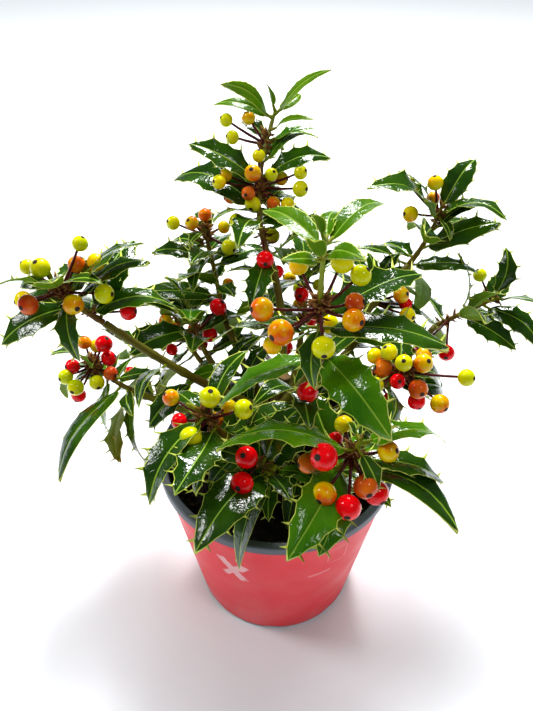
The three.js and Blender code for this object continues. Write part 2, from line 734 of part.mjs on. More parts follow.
const shoots = Object.values(SHOOTS).map((plan) => new Shoot(plan));
shoots.forEach((shoot) => shoot.growPlannedBerries());
shoots.forEach((shoot) => shoot.growPlannedLeaves());
shoots.forEach((shoot) => shoot.growMoreBerries());
shoots.forEach((shoot) => shoot.growMoreLeaves());
const stems = shoots.map((shoot) => shoot.stemSolid());
Object.keys(SHOOTS).forEach((name, index) => {
  const otherStems = stems.filter((_, other) => other !== index);
  const foliage = shoots[index].solid([...standing, ...otherStems]);
  addNode(`${name}_foliage`, foliage, finishes.foliage);
  standing.push(foliage);
});

export default group;
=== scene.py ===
# %% [markdown]
# # A young berry holly in a nursery pot
#
# This lesson dresses a fixed model of a potted holly. The model's solids are plain and few.
# Here each limb gets bark, each mass of foliage grows again with fine leaves and stalked
# berries, and the pot and its compost get their real finish. Lengths in the growing rule are
# millimetres, and they become Blender's metres where a mesh is made.

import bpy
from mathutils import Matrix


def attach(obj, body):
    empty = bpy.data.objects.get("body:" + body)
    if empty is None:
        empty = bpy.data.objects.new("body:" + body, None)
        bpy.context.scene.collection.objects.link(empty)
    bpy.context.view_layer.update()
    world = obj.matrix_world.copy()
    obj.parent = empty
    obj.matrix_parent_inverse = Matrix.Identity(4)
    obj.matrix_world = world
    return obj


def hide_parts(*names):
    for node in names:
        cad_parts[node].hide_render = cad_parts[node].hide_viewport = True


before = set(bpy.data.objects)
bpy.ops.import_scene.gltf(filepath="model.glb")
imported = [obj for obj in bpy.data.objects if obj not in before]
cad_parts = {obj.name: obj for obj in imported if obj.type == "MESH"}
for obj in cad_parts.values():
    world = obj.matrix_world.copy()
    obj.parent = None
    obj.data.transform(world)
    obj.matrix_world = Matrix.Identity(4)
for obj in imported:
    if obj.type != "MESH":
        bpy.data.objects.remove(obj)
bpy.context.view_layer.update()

import math

import bpy
import numpy as np
from mathutils import Vector, noise

MM = 0.001


def put_in_scene(name, data):
    made = bpy.data.objects.new(name, data)
    bpy.context.scene.collection.objects.link(made)
    return made


# %% [markdown]
# ## The view
#
# The plant is seen from close by and from above, so the crown spreads over the pot. A camera
# that aims at the middle of the crown from 29 cm away gives that strong perspective. Its lens
# is worked out from the width of the view, and it needs no shift and no blur.

# %% Camera
AIM = Vector((-0.0053, 0.0, 0.158))
ELEVATION = math.radians(38.5)
DISTANCE = 0.29
LENS_MM, SENSOR_MM = 32.4, 36.0
NEAREST = 0.01

camera_data = bpy.data.cameras.new("view")
camera_data.lens = LENS_MM
camera_data.sensor_width = SENSOR_MM
camera_data.clip_start = NEAREST
camera = put_in_scene("view", camera_data)
backwards = Vector((0.0, -math.cos(ELEVATION), math.sin(ELEVATION)))
camera.location = AIM + backwards * DISTANCE
camera.rotation_euler = backwards.to_track_quat("Z", "Y").to_euler()
bpy.context.scene.camera = camera
print("camera at", [round(value, 3) for value in camera.location])

# %% [markdown]
# ## Studio light
#
# Waxy leaves only look waxy when something bright is mirrored in them, and they stay dark
# and deep only when the rest of what they mirror is dim. So small soft lights behind, on the
# left and in front draw the highlights. A broad overhead sun lights the plant and the floor
# evenly, but it is left out of reflections, where its wide disc would lay a grey veil over
# every leaf. The sky lights the plant faintly, shows even less in reflections, and stands
# pale behind the floor.

# %% Lights
LAMPS = {
    "back_light": ((0.12, 0.9, 1.15), 0.4, 24.0),
    "left_light": ((-0.9, 0.1, 0.95), 0.35, 6.0),
    "front_light": ((0.7, -0.7, 1.5), 0.3, 4.0),
}
SUN_STRENGTH, SUN_WIDTH, SUN_LEAN, SUN_ASIDE = 2.4, 50, -32, 4

for name, (place, size, power) in LAMPS.items():
    lamp_data = bpy.data.lights.new(name, "AREA")
    lamp_data.shape = "DISK"
    lamp_data.size = size
    lamp_data.energy = power
    lamp = put_in_scene(name, lamp_data)
    lamp.location = place
    lamp.rotation_euler = (Vector(place) - AIM).to_track_quat("Z", "Y").to_euler()
    print(f"{name}: {power} W, {size} m across")

sun_data = bpy.data.lights.new("overhead", "SUN")
sun_data.energy = SUN_STRENGTH
sun_data.angle = math.radians(SUN_WIDTH)
sun = put_in_scene("overhead", sun_data)
sun.rotation_euler = (math.radians(SUN_LEAN), math.radians(SUN_ASIDE), 0.0)
sun.visible_glossy = False
print(f"overhead: strength {SUN_STRENGTH}, {SUN_WIDTH} degrees wide")

# %% Sky
SKY_AS_LIGHT, SKY_IN_REFLECTIONS, SKY_SEEN = 0.27, 0.08, 0.9
WHITE = (1.0, 1.0, 1.0, 1.0)

sky = bpy.data.worlds.new("studio")
sky.use_nodes = True
background = sky.node_tree.nodes["Background"]
background.inputs["Color"].default_value = WHITE
ray = sky.node_tree.nodes.new("ShaderNodeLightPath").outputs
strength = None
for kind, level in (("Is Glossy Ray", SKY_IN_REFLECTIONS), ("Is Camera Ray", SKY_SEEN)):
    change = sky.node_tree.nodes.new("ShaderNodeMath")
    change.operation = "MULTIPLY_ADD"
    change.inputs[1].default_value = level - SKY_AS_LIGHT
    change.inputs[2].default_value = SKY_AS_LIGHT
    sky.node_tree.links.new(ray[kind], change.inputs[0])
    if strength:
        sky.node_tree.links.new(strength, change.inputs[2])
    strength = change.outputs[0]
sky.node_tree.links.new(strength, background.inputs["Strength"])
bpy.context.scene.world = sky
bpy.context.scene.view_settings.view_transform = "Standard"
print("sky:", SKY_AS_LIGHT, "as light,", SKY_IN_REFLECTIONS, "in reflections,", SKY_SEEN, "seen")

# %% [markdown]
# ## Writing materials in code
#
# A material is a small graph. It could be wired by hand in the shader editor, but in code the
# same net of veins or grain can be made again with other values. `Graph.add` makes one node,
# sets the values that are plain numbers and links the ones that are sockets, so a graph reads
# from top to bottom like a recipe. `effect` makes a node group with named sockets, which
# several materials share, and `finish` makes a material round one Principled shader whose
# constant values stay on the shader itself.

# %% The graph helper
class Graph:
    def __init__(self, tree):
        self.tree = tree

    def add(self, kind, values=None, **settings):
        node = self.tree.nodes.new(kind)
        for key, value in settings.items():
            setattr(node, key, value)
        for key, value in (values or {}).items():
            if isinstance(value, bpy.types.NodeSocket):
                self.tree.links.new(value, node.inputs[key])
            else:
                node.inputs[key].default_value = value
        return node

    def use(self, group, values):
        return self.add("ShaderNodeGroup", values, node_tree=group).outputs

    def maths(self, operation, *values):
        return self.add("ShaderNodeMath", dict(enumerate(values)), operation=operation).outputs[0]

    def blend(self, factor, first, second):
        """Mix two colours. A Mix node has sockets for other kinds too, so these go by number."""
        values = {0: factor, 6: first, 7: second}
        return self.add("ShaderNodeMix", values, data_type="RGBA").outputs[2]

    def step(self, value, low, high, to_low=0.0, to_high=1.0):
        values = {"Value": value, "From Min": low, "From Max": high, "To Min": to_low, "To Max": to_high}
        return self.add("ShaderNodeMapRange", values).outputs["Result"]

    def place(self):
        return self.add("ShaderNodeTexCoord").outputs["Object"]

    def noise(self, vector, scale, detail=3.0, roughness=0.5):
        values = {"Vector": vector, "Scale": scale, "Detail": detail, "Roughness": roughness}
        return self.add("ShaderNodeTexNoise", values).outputs["Fac"]

    def bump(self, height, strength, distance):
        values = {"Height": height, "Strength": strength, "Distance": distance}
        return self.add("ShaderNodeBump", values).outputs["Normal"]


# %% Effects, finishes and colours
NUMBER, COLOUR, VECTOR = "NodeSocketFloat", "NodeSocketColor", "NodeSocketVector"


def effect(name, inputs, outputs, recipe):
    tree = bpy.data.node_groups.new(name, "ShaderNodeTree")
    for label, (kind, value) in inputs.items():
        tree.interface.new_socket(label, in_out="INPUT", socket_type=kind).default_value = value
    for label, kind in outputs.items():
        tree.interface.new_socket(label, in_out="OUTPUT", socket_type=kind)
    graph = Graph(tree)
    given = graph.add("NodeGroupInput").outputs
    result = graph.add("NodeGroupOutput").inputs
    for label, socket in recipe(graph, given).items():
        tree.links.new(socket, result[label])
    return tree


def finish(name, plain, recipe=None):
    made = bpy.data.materials.new(name)
    made.use_nodes = True
    made.node_tree.nodes.clear()
    graph = Graph(made.node_tree)
    shader = graph.add("ShaderNodeBsdfPrincipled", plain)
    output = graph.add("ShaderNodeOutputMaterial")
    made.node_tree.links.new(shader.outputs["BSDF"], output.inputs["Surface"])
    for label, socket in (recipe(graph) if recipe else {}).items():
        made.node_tree.links.new(socket, shader.inputs[label])
    made.diffuse_color = plain["Base Color"]
    return made


def colour(red, green, blue):
    """A colour given as it looks on a screen, 0 to 255, turned into the light it stands for."""
    light = [((c / 255 + 0.055) / 1.055) ** 2.4 if c > 10 else c / 3294 for c in (red, green, blue)]
    return (*light, 1.0)


print("half way to white on a screen is", round(colour(128, 128, 128)[0], 2), "of full light")

# %% [markdown]
# ## Shared effects
#
# Living surfaces are never one flat colour. `mottle` mixes two colours by a soft noise,
# `grain` gives a fine height for bumps, and `patches` varies how wet or dull a surface is.
# They take their place from the object itself, so they stick to the plant in every view.

# %% Mottle, grain and patches
GRAIN_DEPTH = 0.0004
MIDDLE = (0.35, 0.65)


def mottle_recipe(graph, given):
    cloud = graph.noise(graph.place(), given["Scale"])
    low = graph.maths("SUBTRACT", 0.5, given["Softness"])
    high = graph.maths("ADD", 0.5, given["Softness"])
    return {"Colour": graph.blend(graph.step(cloud, low, high), given["First"], given["Second"])}


mottle = effect(
    "mottle",
    {
        "First": (COLOUR, (0.5, 0.5, 0.5, 1.0)),
        "Second": (COLOUR, (0.4, 0.4, 0.4, 1.0)),
        "Scale": (NUMBER, 100.0),
        "Softness": (NUMBER, 0.15),
    },
    {"Colour": COLOUR},
    mottle_recipe,
)


def grain_recipe(graph, given):
    fine = graph.noise(graph.place(), given["Scale"], 4.0, 0.6)
    return {"Normal": graph.bump(fine, given["Strength"], GRAIN_DEPTH)}


grain = effect(
    "grain",
    {"Scale": (NUMBER, 800.0), "Strength": (NUMBER, 0.2)},
    {"Normal": VECTOR},
    grain_recipe,
)


def patches_recipe(graph, given):
    soft = graph.noise(graph.place(), given["Scale"], 2.0)
    return {"Value": graph.step(soft, *MIDDLE, given["Low"], given["High"])}


patches = effect(
    "patches",
    {"Scale": (NUMBER, 60.0), "Low": (NUMBER, 0.2), "High": (NUMBER, 0.4)},
    {"Value": NUMBER},
    patches_recipe,
)
print("effects:", [group.name for group in bpy.data.node_groups])

# %% [markdown]
# ## The growing rule
#
# Setting every leaf by hand takes too long, and leaves thrown by chance alone look like a
# hedge. So each shoot has a stem, the leaves and berries that give it its outline, and
# numbers that say how many more a rule may add. The rule turns each new leaf by the golden
# angle, as real plants do, and takes the next free place. A leaf that would stand between a
# berry and the light isn't grown, because holly holds its fruit out in the open. The chance
# comes from one simple formula, so the same holly grows on every run.

# %% Sizes of limbs, leaves and berries, in millimetres
SOIL_LEVEL = 86.0
CLEARANCE = 0.32
TRUNK_LINE = [(0, 2, SOIL_LEVEL + CLEARANCE), (-1, 3, 112), (3, 5, 142)]
TRUNK_FOOT_RADIUS = 7.5
TRUNK_RADIUS = 4.6
TRUNK_TIP_RADIUS = 3.1
FLARE_HEIGHT = 7.0
BOUGH_RADIUS = 2.5
BOUGH_TIP_RADIUS = 1.7
STEM_RADIUS = 1.5
STEM_TIP_RADIUS = 0.8
GOLDEN_TURN = 137.5
LEAF_STALK = 4.0
LEAF_WIDTH = 0.22
LEAF_BEND = (0.3, 1.1)
LEAF_FOLD = (0.1, 0.38)
LEAF_ROLL = 25.0
SLENDER_WIDTH = 0.14
SMOOTH_WIDTH = 0.17
SPINY_SHARE = 0.85
LEAF_ROOM = 0.8
BERRY_RADIUS = (3.4, 4.4)
BERRY_TILT = (50, 110)
BERRY_REACH = (8, 12)
FRUIT_SPAN = (0.25, 0.85)
FRUIT_TURN = 60
FILL_SPAN = (0.15, 0.95)
FILL_TURN = 110
FILL_TILT = (100, 45)
FILL_SWAY = (-15, 15)
FILL_LENGTH = (42, 20)
FILL_SHARE = (0.85, 1.1)
TRIALS = 12
print("limbs taper from", TRUNK_FOOT_RADIUS, "mm at the trunk's foot to", STEM_TIP_RADIUS, "mm at a tip")

# %% [markdown]
# A shoot's leaves are written as (place along the stem, turn round it, tilt from it, length),
# and some end with a roll about their own line. Its fruit hangs in clusters: the place on the
# stem, a letter for the ripeness of each berry, and the berries as (x, y, z, radius). The
# letters stand for green, yellow, orange, dull red and red. From the place `young` on, the
# leaves are this year's, pale and slender, and from `green_from` on the stem is green too.
# `fresh` lists the leaves, counted from nought, that are a lighter green than the rest.
#
# Most numbers of this table were worked out by programs apart from this lesson, from where
# each stem, leaf and berry shows in the camera's view, and then rounded to a millimetre and
# to five degrees. So the table is data that fits one plant, and not a pattern to copy.

# %% The shoots
SHOOTS = {
    "leader": dict(
        seed=101, height=131, bend=(2, 26, 158), stem=((-3, 48, 179), (-9, 66, 205), (-1, 93, 237)),
        leaves=[(0.98, -60, 65, 38, 55), (0.96, -145, 90, 33, -50), (0.97, 175, 95, 30, -45),
                (0.99, 40, 35, 22, 40), (0.9, -50, 85, 28, 45), (1, -120, 70, 16),
                (0.62, -15, 65, 35, 25), (0.6, -170, 70, 38, -30), (0.44, 157, 66, 53, -25),
                (0.4, -135, 100, 30), (0.36, -110, 120, 34), (0.4, 25, 90, 30, 25),
                (0.08, -125, 130, 34, 0)],
        fruit=[
            (0.56, "ggggoygddyy", [(-9, 74, 222, 3.3), (-3, 66, 216, 3.2), (11, 66, 217, 3.5),
                (11, 63, 210, 4), (-2, 62, 203, 3.5), (5, 61, 203, 3.5), (-12, 61, 203, 4),
                (-14, 60, 209, 3.4), (-23, 70, 203, 3.8), (-25, 70, 214, 3.3), (-28, 64, 213, 3.5)]),
            (0.82, "gog", [(-25, 89, 234, 3.4), (-14, 89, 235, 3.4), (-22, 85, 227, 3.5)]),
            (0.2, "rr", [(-6, 41, 184, 4.4), (0, 48, 173, 3.5)]),
        ],
        more_leaves=7, more_fruit=2, more_ripe="goyr", young=0.85, green_from=0.7,
    ),
    "crown_front": dict(
        seed=102, height=122, bend=(9, -13, 150), stem=((17, -23, 176), (15, -26, 203), (15, -29, 232)),
        leaves=[(0.97, 50, 90, 38), (0.95, 125, 95, 38), (0.99, 75, 95, 26), (0.9, -65, 60, 28, 40),
                (0.86, -140, 65, 22, -40), (1, -140, 30, 15), (0.3, -10, 95, 50, -5),
                (0.36, -100, 120, 27, 20), (0.3, 175, 90, 43), (0.05, -62, 95, 47, 20),
                (0.02, -160, 95, 46, 10), (0.4, 25, 80, 46, 0)],
        fruit=[
            (0.47, "yggdoooyg", [(7, -14, 213, 3.9), (23, -18, 217, 4.6), (30, -21, 213, 4.2),
                (28, -26, 204, 4), (27, -33, 201, 4.5), (-7, -26, 201, 4.8), (0, -34, 196, 5.2),
                (-3, -30, 187, 3.9), (16, -38, 192, 4.6)]),
            (0.15, "r", [(11, -36, 168, 4.4)]),
        ],
        more_leaves=4, more_fruit=1, more_ripe="yo", young=0.84, green_from=0.55, fresh=(9, 10),
    ),
    "north_west": dict(
        seed=103, height=113, bend=(-14, 26, 124), stem=((-27, 51, 140), (-34, 69, 166), (-39, 80, 184)),
        leaves=[(0.55, -110, 115, 32), (0.62, -100, 100, 34), (0.5, -165, 65, 32, -15),
                (0.3, -65, 110, 24), (0.9, -125, 115, 16), (0.6, 30, 95, 28, 25)],
        fruit=[
            (0.83, "googo", [(-54, 77, 185, 3.8), (-44, 75, 186, 3.7), (-38, 86, 185, 3.8),
                (-25, 71, 174, 4.3), (-28, 82, 180, 3.5)]),
        ],
        more_leaves=5, more_fruit=1, more_ripe="oyr", young=2,
    ),
    "west": dict(
        seed=204, height=118, bend=(-38, 4, 140), stem=((-78, 7, 171), (-93, 8, 185), (-98, 9, 196)),
        leaves=[(0.35, -160, 70, 37, -15), (0.5, -105, 130, 30), (0.4, 25, 105, 38),
                (0.5, 25, 95, 42, 5), (0.75, -15, 100, 24), (0.2, 20, 135, 40), (0.7, 160, 70, 22)],
        fruit=[
            (0.6, "gggoygody", [(-86, 20, 204, 3.6), (-109, 14, 196, 3.5), (-101, 8, 199, 4.5),
                (-89, 19, 194, 4.2), (-80, 18, 196, 4.1), (-76, 8, 186, 4.5), (-88, 1, 185, 4.6),
                (-106, -2, 187, 4.5), (-111, 6, 184, 4.2)]),
            (0.2, "r", [(-67, 9, 176, 4.1)]),
        ],
        more_leaves=3, more_fruit=1, more_ripe="rog", young=2,
    ),
    "west_low": dict(
        seed=105, height=102, bend=(-38, 15, 105),
        stem=((-77, 29, 111), (-91, 36, 115), (-102, 41, 122)),
        leaves=[(0.4, 15, 140, 27, 15), (0.5, -170, 120, 35), (0.2, -140, 85, 58, 0),
                (0.95, 155, 90, 42, 0), (0.05, -165, 125, 42, 25), (0.1, -100, 130, 24)],
        fruit=[
            (0.85, "oyrrrdggrg", [(-104, 49, 128, 3.9), (-98, 50, 125, 4), (-92, 44, 131, 4.8),
                (-91, 44, 121, 4.4), (-109, 37, 121, 4.2), (-89, 36, 117, 4), (-112, 32, 118, 4.2),
                (-106, 27, 115, 4.5), (-107, 31, 106, 4.2), (-96, 32, 114, 4.2)]),
        ],
        more_leaves=4, more_fruit=1, more_ripe="rgo", young=2, fresh=(1, 3),
    ),
    "south_west": dict(
        seed=106, height=106, bend=(-11, -10, 113),
        stem=((-21, -25, 125), (-30, -29, 146), (-39, -30, 156)),
        leaves=[(0.5, 130, 80, 28), (0.35, -100, 65, 44), (0.1, -100, 60, 40), (0.6, -130, 90, 43),
                (0.3, 35, 155, 28)],
        fruit=[
            (0.52, "ogygrgg", [(-46, -25, 155, 3.7), (-29, -28, 158, 4.6), (-22, -20, 145, 3.6),
                (-15, -29, 152, 4.4), (-43, -28, 144, 3.7), (-37, -39, 145, 4.9),
                (-49, -40, 140, 3.9)]),
        ],
        more_leaves=4, more_fruit=1, more_ripe="ory", young=2,
    ),
    "front_low": dict(
        seed=208, height=95, bend=(-1, -13, 100), stem=((-3, -28, 110), (-7, -33, 121), (-13, -35, 128)),
        leaves=[(0.3, -120, 55, 52), (0.2, -55, 60, 26), (0.6, 100, 110, 28)],
        fruit=[
            (0.7, "rr", [(-14, -37, 131, 5), (-16, -43, 121, 5.1)]),
        ],
        more_leaves=4, more_fruit=0, more_ripe="r", young=2, ahead=((0, 2), (1, 5)),
    ),
    "south_east": dict(
        seed=108, height=104, bend=(11, -21, 110), stem=((24, -44, 128), (28, -52, 147), (31, -54, 159)),
        leaves=[(1, 95, 100, 16), (0.85, -55, 110, 19), (0.7, 180, 95, 54), (0.95, 10, 75, 36),
                (0.35, -30, 75, 50, -25), (0.3, -120, 80, 48), (0.2, -105, 85, 38),
                (0.1, -35, 70, 26)],
        fruit=[
            (0.6, "rdoyrodrr", [(17, -57, 153, 5.5), (11, -54, 146, 4.2), (17, -67, 143, 5),
                (26, -41, 155, 3.9), (23, -42, 147, 3.4), (42, -56, 155, 4.4), (33, -65, 145, 5),
                (26, -71, 140, 5.2), (38, -63, 139, 5.2)]),
        ],
        more_leaves=2, more_fruit=0, more_ripe="r", young=2, fresh=(2, 3, 5, 6), open=(2,),
        ahead=((0, 6),),
    ),
    "east": dict(
        seed=109, height=109, bend=(19, 0, 119), stem=((39, -5, 136), (55, -4, 150), (63, -4, 158)),
        leaves=[(0.35, -90, 100, 28), (0.5, 15, 85, 26, 25), (0.2, 90, 50, 28), (0.9, 45, 65, 18)],
        fruit=[
            (0.6, "gydgoorgdrog", [(50, 0, 160, 4), (45, 6, 153, 3.8), (48, -2, 152, 4.4),
                (55, -9, 161, 3.9), (66, 0, 158, 3.8), (64, -8, 160, 4.4), (41, 1, 146, 3.8),
                (44, -9, 148, 3.9), (62, -14, 150, 4.5), (63, -12, 141, 4.2), (72, -17, 144, 4.5),
                (83, -12, 155, 4)]),
        ],
        more_leaves=4, more_fruit=1, more_ripe="ryo", young=2,
    ),
    "north_east": dict(
        seed=110, height=125, bend=(33, 33, 143), stem=((69, 66, 166), (79, 73, 179), (85, 79, 194)),
        leaves=[(0.93, 40, 25, 34, 10), (0.9, -50, 75, 36), (0.3, -40, 40, 41, 25),
                (0.85, -65, 120, 17), (0.8, -155, 80, 48, -10), (0.85, 160, 60, 31), (0.6, -30, 35, 30),
                (0.02, -10, 50, 38, 15), (0.02, 175, 110, 30, 0)],
        fruit=[
            (0.85, "yyoy", [(68, 86, 202, 3.6), (81, 84, 204, 4.1), (82, 87, 194, 3.7),
                (69, 77, 190, 4.3)]),
        ],
        more_leaves=3, more_fruit=0, more_ripe="ogry", young=2,
    ),
    "far_east": dict(
        seed=111, height=98, bend=(45, 30, 104), stem=((89, 63, 129), (106, 66, 137), (121, 67, 145)),
        leaves=[(0.97, 160, 55, 28, -35), (0.98, -95, 50, 30, 20), (0.4, -45, 60, 35, 50),
                (0.75, -45, 60, 39, 25), (0.45, 180, 75, 36, -25)],
        fruit=[
            (0.9, "g", [(112, 76, 154, 3.9)]),
            (0.2, "rr", [(92, 45, 124, 4.6), (78, 45, 129, 4.3)]),
        ],
        more_leaves=4, more_fruit=0, more_ripe="gor", young=2,
    ),
    "mid_east": dict(
        seed=112, height=118, bend=(23, 24, 124), stem=((48, 47, 138), (49, 55, 151), (55, 59, 160)),
        leaves=[(0.8, 130, 50, 22), (0.5, 10, 90, 44), (0.6, 130, 60, 24), (0.9, 160, 15, 20),
                (0.8, 30, 40, 27, 10)],
        fruit=[
            (0.5, "oryry", [(64, 50, 158, 4.4), (68, 53, 150, 3.7), (67, 43, 150, 4.4),
                (57, 63, 158, 3.8), (40, 50, 150, 3.5)]),
        ],
        more_leaves=3, more_fruit=1, more_ripe="ryo", young=2,
    ),
    "mid_west": dict(
        seed=113, height=107, bend=(-21, 17, 117), stem=((-36, 34, 131), (-43, 42, 143), (-46, 50, 155)),
        leaves=[(0.5, -150, 90, 36), (0.3, -80, 90, 34), (0.8, 170, 60, 30)],
        fruit=[
            (0.4, "rr", [(-30, 45, 154, 4.6), (-53, 43, 141, 3.7)]),
        ],
        more_leaves=6, more_fruit=1, more_ripe="ror", young=2,
    ),
    "north": dict(
        seed=214, height=107, bend=(8, 32, 110), stem=((14, 62, 122), (17, 78, 138), (17, 88, 156)),
        leaves=[(0.9, 90, 60, 36), (0.4, -10, 85, 40), (0.35, -150, 90, 36, 0), (0.2, 145, 110, 36, 0),
                (0.75, -120, 100, 42, 10)],
        fruit=[
            (0.25, "rr", [(5, 55, 120, 4.6), (0, 64, 130, 4)]),
        ],
        more_leaves=8, more_fruit=5, more_ripe="rogrgo", young=2,
    ),
    "north_west_low": dict(
        seed=115, height=94, bend=(-19, 28, 97), stem=((-42, 56, 108), (-54, 68, 122), (-60, 76, 138)),
        leaves=[(0.5, 150, 75, 42), (0.3, 60, 85, 40)],
        fruit=[],
        more_leaves=8, more_fruit=5, more_ripe="rrogo", young=2,
    ),
}
planned_leaves = sum(len(plan["leaves"]) for plan in SHOOTS.values())
planned_berries = sum(len(ripe) for plan in SHOOTS.values() for place, ripe, cluster in plan["fruit"])
print(len(SHOOTS), "shoots with", planned_leaves, "planned leaves and", planned_berries, "berries")

# %% [markdown]
# A leaf's place is told by a turn round its stem and a tilt away from it. `Limb` gives the
# curve of a stem and its heading at each place, and `leaving` turns such a turn and tilt into
# a direction. `LIGHT` is the place in front of and above the plant that its fruit faces.

# %% Chance, curves and directions
UP = np.array([0.0, 0.0, 1.0])
EAST = np.array([1.0, 0.0, 0.0])
LIGHT = np.array([-5.0, -230.0, 340.0])


class Chance:
    """Numbers from nought to one that look random and are the same on every run."""

    def __init__(self, seed):
        self.state = seed * 2654435

    def next(self):
        self.state = (self.state * 1664525 + 1013904223) & 0xFFFFFFFF
        return self.state / 4294967296

    def between(self, low_high):
        return low_high[0] + (low_high[1] - low_high[0]) * self.next()


def unit(vector):
    return vector / np.linalg.norm(vector)


def mix(low_high, share):
    return low_high[0] + (low_high[1] - low_high[0]) * share


class Limb:
    """A curve that passes through three points, the middle one half way along."""

    def __init__(self, foot, middle, tip):
        self.foot, self.tip = np.array(foot, float), np.array(tip, float)
        self.pull = 2 * np.array(middle, float) - (self.foot + self.tip) / 2

    def at(self, t):
        return (1 - t) ** 2 * self.foot + 2 * t * (1 - t) * self.pull + t * t * self.tip

    def heading(self, t):
        return unit((1 - t) * (self.pull - self.foot) + t * (self.tip - self.pull))


def sides_of(heading):
    across = EAST - (heading[0] / (1 + heading[2])) * (heading + UP)
    return across, np.cross(heading, across)


def leaving(heading, turn, tilt):
    across, along = sides_of(heading)
    turn, tilt = math.radians(turn), math.radians(tilt)
    aside = math.cos(turn) * across + math.sin(turn) * along
    return unit(math.cos(tilt) * heading + math.sin(tilt) * aside)


# %% [markdown]
# A leaf keeps its own small frame: the direction to its tip, the side, and the way its upper
# face looks. With that frame it can say where any point of its blade is, and whether another
# leaf or a berry would touch it.

# %% A leaf and a berry of the rule
class Leaf:
    def __init__(self, limb, place, turn, tilt, length, roll, slender, chance):
        heading = limb.heading(place)
        self.root = limb.at(place)
        self.slender = slender
        self.direction = leaving(heading, turn, tilt)
        self.bend = chance.between(LEAF_BEND)
        self.fold = chance.between(LEAF_FOLD)
        sway = chance.between((-LEAF_ROLL, LEAF_ROLL))
        roll = math.radians(sway if roll is None else roll)
        self.spiny = chance.next() < SPINY_SHARE
        facing = 0.5 * heading + UP
        facing = unit(facing - (facing @ self.direction) * self.direction)
        self.facing = facing * math.cos(roll) + np.cross(self.direction, facing) * math.sin(roll)
        self.side = np.cross(self.direction, self.facing)
        self.length = length
        self.blade = length - LEAF_STALK
        self.half = length * (SLENDER_WIDTH if slender else LEAF_WIDTH if self.spiny else SMOOTH_WIDTH)

    def arch(self, share):
        return self.blade * self.bend * share * (1 - share) / 2

    def points(self, share, across, above):
        """Points at shares of the blade, so far across it and so far above it."""
        share, across, above = (np.asarray(value, float)[..., None] for value in (share, across, above))
        return (
            self.root
            + (LEAF_STALK + self.blade * share) * self.direction
            + across * math.cos(self.fold) * self.side
            + (self.arch(share) + np.abs(across) * math.sin(self.fold) + above) * self.facing
        )

    def sample(self, shares, widths):
        """Points spread over the blade, at these shares of its length and of its half width."""
        share, width = np.meshgrid(shares, widths)
        return self.points(share.ravel(), width.ravel() * self.half, np.zeros(share.size))


class Berry:
    def __init__(self, root, centre, radius, ripeness):
        self.root, self.centre = root, np.array(centre, float)
        self.direction = unit(self.centre - root)
        self.radius, self.ripeness = radius, ripeness

    def move(self, step):
        self.centre = self.centre + step
        self.direction = unit(self.centre - self.root)


sample_leaf = Leaf(Limb(*SHOOTS["leader"]["stem"]), 0.5, 30, 80, 40, 0, False, Chance(1))
print("a leaf of 40 mm has a blade of", sample_leaf.blade, "mm and is", 2 * sample_leaf.half, "mm wide")


# %% The crowd: what has grown so far, and who still has room
class Crowd:
    def __init__(self):
        self.leaves, self.berries = [], []

    def touched(self, points, room, leaves):
        """Whether each point (rows) lies within its room of each leaf (columns)."""
        roots, ways, sides, faces, blade, bend, fold, half = (
            np.array([getattr(leaf, name) for leaf in leaves])
            for name in ("root", "direction", "side", "facing", "blade", "bend", "fold", "half")
        )
        offset = points[:, None, :] - roots[None]
        along = (offset * ways).sum(2) - LEAF_STALK
        across = np.abs((offset * sides).sum(2))
        share = along / blade
        arch = blade * bend * share * (1 - share) / 2
        above = (offset * faces).sum(2) - arch - across * np.sin(fold)
        room = np.broadcast_to(np.asarray(room, float).reshape(-1, 1), above.shape)
        return (along > 0) & (along < blade + room) & (across < half + room) & (np.abs(above) < room)

    def has_room_for_leaf(self, leaf):
        centres = np.array([berry.centre for berry in self.berries])
        if self.touched(centres, [berry.radius for berry in self.berries], [leaf]).any():
            return False
        if not self.leaves:
            return True
        points = leaf.sample([0.2, 0.5, 0.8], [-0.7, 0.0, 0.7])
        return not self.touched(points, LEAF_ROOM, self.leaves).any()

    def is_shaded_by(self, leaf):
        """Whether part of the blade stands between a berry and the light."""
        points = leaf.sample([0.1, 0.3, 0.5, 0.7, 0.9], [-0.8, 0.0, 0.8])
        centres = np.array([berry.centre for berry in self.berries])
        ways = LIGHT - centres
        ways = ways / np.linalg.norm(ways, axis=1)[:, None]
        offset = points[:, None] - centres
        ahead = (offset * ways).sum(2)
        aside = np.linalg.norm(offset - ahead[..., None] * ways, axis=2)
        return ((ahead > 0) & (aside < [berry.radius for berry in self.berries])).any()

    def has_room_for_berry(self, berry):
        if self.touched(berry.centre[None], berry.radius, self.leaves).any():
            return False
        return all(
            np.linalg.norm(other.centre - berry.centre) > other.radius + berry.radius
            for other in self.berries
        )


# %% [markdown]
# The shoots grow in turns: first the planned berries, then the leaves that shape them, then
# the rule's own berries, and its leaves last. Each turn looks at everything that already
# stands, so nothing pushes through its neighbour.

